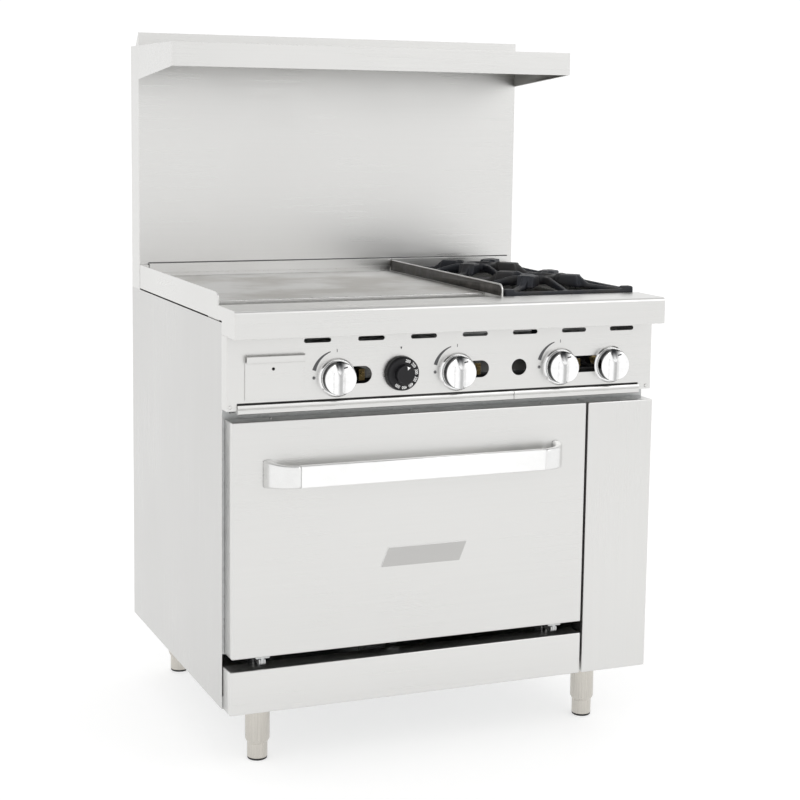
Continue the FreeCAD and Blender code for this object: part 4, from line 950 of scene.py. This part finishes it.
def console_gap_shade():
    """A black strip in the gap between the control panel's lower hem and the crumb trays: painted shade for
    the shadow gap.
    """
    left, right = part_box("crumb_tray_left")[0].x + GAP_SHADE_IN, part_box("crumb_tray_right")[1].x - GAP_SHADE_IN
    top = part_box("crumb_tray_left")[1].z
    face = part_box("control_panel")[0].y
    bm = bmesh.new()
    rounded_box(bm, (left, face + GAP_SHADE_SET_BACK, top + GAP_SHADE_LOW), (right, face + GAP_SHADE_DEPTH, top + GAP_SHADE_HIGH),
                GAP_SHADE_ROUND, 2)
    piece("console_gap_shade", bm, "root", "dial_black", (RUBBER,))


def trim_sealant():
    """The grey bead of sealant where the rear trim meets the backguard."""
    (x0, x1), (_, y1), (_, z1) = span("rear_trim")
    bm = bmesh.new()
    rounded_box(bm, (x0, y1 - BEAD_WIDE, z1 + 0.05 * MM), (x1, y1 - 0.1 * MM, z1 + BEAD_TALL), BEAD_ROUND)
    piece("trim_sealant", bm, "root", "dial_black", (INK_LIGHT,))


GUSSET_TAPER = 23.5 * MM     # how much lower the gussets are at the back than at the front
LINER_THICK = 0.8 * MM
LINER_IN = 1.6 * MM          # from the gusset's outer face
LINER_FRONT = 18 * MM        # behind the shelf's front


def gusset_shade_plate(name, side):
    """A dark brushed plate inside each end gusset of the high shelf: painted shade and reflection on the
    gusset's inner face.
    """
    (x0, x1), (y0, y1), (z0, z1) = span("high_shelf")
    inner = x0 + LINER_IN if side < 0 else x1 - LINER_IN
    front, back, top = y0 + LINER_FRONT, y1 - 1 * MM, z1 - 3 * MM
    bm = bmesh.new()
    outline = [(front, top), (front, z0 + GUSSET_TAPER), (back, z0 + 1.5 * MM), (back, top)]
    loft(bm, [[(x, y, z) for y, z in outline] for x in (inner, inner - side * LINER_THICK)])
    piece(name, bm, "root", "stainless", (GUSSET_SHADE_STEEL,))


griddle_wall_shade()
trim_sealant()
console_gap_shade()
gusset_shade_plate("gusset_shade_left", -1)
gusset_shade_plate("gusset_shade_right", 1)
for foot_name in ("foot_front_left", "foot_front_right", "foot_rear_left", "foot_rear_right"):
    foot_tip(foot_name)
burner_cap("burner_cap_front", "grate_front")
burner_cap("burner_cap_rear", "grate_rear")


# --- Grates: the sand-cast look -------------------------------------------------------------------

CAST_VOXEL = 2.4 * MM
CAST_KEEP = 0.35             # share of the faces that the last thinning keeps
CAST_ROUNDS = 6


def cast_copy(node, name):
    """A node's shape as a casting: every corner softened and the skin slightly uneven."""
    source = nodes[node]
    mesh = source.data.copy()
    made = bpy.data.objects.new(name, mesh)
    bpy.context.scene.collection.objects.link(made)
    weld = made.modifiers.new("weld", "WELD")
    weld.merge_threshold = WELD_REACH
    skin = made.modifiers.new("skin", "REMESH")
    skin.mode = "VOXEL"
    skin.voxel_size = CAST_VOXEL
    relax = made.modifiers.new("relax", "SMOOTH")
    relax.iterations = CAST_ROUNDS
    relax.factor = 0.5
    fewer = made.modifiers.new("fewer", "DECIMATE")
    fewer.ratio = CAST_KEEP
    applied(made)
    made.data.shade_smooth()
    made.data.materials.clear()
    made.data.materials.append(IRON)
    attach(made, source["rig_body"])
    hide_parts(node)


cast_copy("grate_front", "grate_front_casting")
cast_copy("grate_rear", "grate_rear_casting")


# --- Camera, light and floor ----------------------------------------------------------------------

CAMERA_AT = (-1.38241, -3.38704, 1.28099)
CAMERA_YAW = math.radians(22.653)
CAMERA_DOWN = math.radians(7.401)
CAMERA_ROLL = math.radians(0.790)
CAMERA_LENS = 77.30
CAMERA_SENSOR = 36
CAMERA_SHIFT = -0.08


def camera():
    data = bpy.data.cameras.new("camera")
    data.lens = CAMERA_LENS
    data.sensor_width = CAMERA_SENSOR
    data.shift_y = CAMERA_SHIFT
    held = bpy.data.objects.new("camera", data)
    bpy.context.scene.collection.objects.link(held)
    turned = (Matrix.Rotation(-CAMERA_YAW, 4, "Z") @ Matrix.Rotation(math.pi / 2 - CAMERA_DOWN, 4, "X")
              @ Matrix.Rotation(CAMERA_ROLL, 4, "Z"))
    held.matrix_world = Matrix.Translation(CAMERA_AT) @ turned
    bpy.context.scene.camera = held


WORLD_LIGHT = 1.06
ZENITH_LIGHT = 0.35          # of the ceiling straight above
CEILING_FROM, CEILING_TO = 0.80, 0.93   # heights of the sky at which it starts and ends to dim
WHITE = (1, 1, 1, 1)
LAMPS = (("key", (2.2, -3.0, 3.2), 2.4, 14), ("top", (-0.4, 0.2, 3.6), 2.0, 8))   # place, size, watts
LAMP_AIM = (0, 0, 0.8)


def studio():
    """A white studio with a dim ceiling and two soft lamps."""
    world = bpy.data.worlds.new("studio")
    bpy.context.scene.world = world
    world.use_nodes = True
    tree = world.node_tree
    ray = tree.nodes.new("ShaderNodeTexCoord").outputs["Generated"]
    parts = tree.nodes.new("ShaderNodeSeparateXYZ")
    tree.links.new(ray, parts.inputs[0])
    ceiling = tree.nodes.new("ShaderNodeMapRange")
    ceiling.interpolation_type = "SMOOTHSTEP"
    tree.links.new(parts.outputs["Z"], ceiling.inputs["Value"])
    for key, number in (("From Min", CEILING_FROM), ("From Max", CEILING_TO),
                        ("To Min", WORLD_LIGHT), ("To Max", ZENITH_LIGHT)):
        ceiling.inputs[key].default_value = number
    tree.links.new(ceiling.outputs["Result"], tree.nodes["Background"].inputs["Strength"])
    tree.nodes["Background"].inputs["Color"].default_value = WHITE
    for lamp in LAMPS:
        soft_light(*lamp)


def soft_light(name, place, size, power):
    data = bpy.data.lights.new(name, "AREA")
    data.shape = "DISK"
    data.size = size
    data.energy = power
    held = bpy.data.objects.new(name, data)
    bpy.context.scene.collection.objects.link(held)
    held.location = place
    aim = Vector(LAMP_AIM) - Vector(place)
    held.rotation_euler = aim.to_track_quat("-Z", "Y").to_euler()


FLOOR_GLOW = 0.57            # a lit table, so the contact shadow stays light
FLOOR_REACH = 40


def floor():
    bm = bmesh.new()
    bmesh.ops.create_grid(bm, x_segments=1, y_segments=1, size=FLOOR_REACH)
    mesh = bpy.data.meshes.new("floor")
    bm.to_mesh(mesh)
    bm.free()
    look = Look("floor")
    mottle = look.noise(0.6, 3.0)
    look.colour(look.mixed(mottle, FLOOR_WHITE, shade(FLOOR_WHITE, 0.985)))
    look.roughness(look.spread(mottle, 0.75, 0.85))
    look.shader.inputs["Emission Color"].default_value = WHITE
    look.shader.inputs["Emission Strength"].default_value = FLOOR_GLOW
    mesh.materials.append(look.material)
    held = bpy.data.objects.new("floor", mesh)
    bpy.context.scene.collection.objects.link(held)


camera()
studio()
floor()
bpy.context.scene.view_settings.view_transform = "Standard"
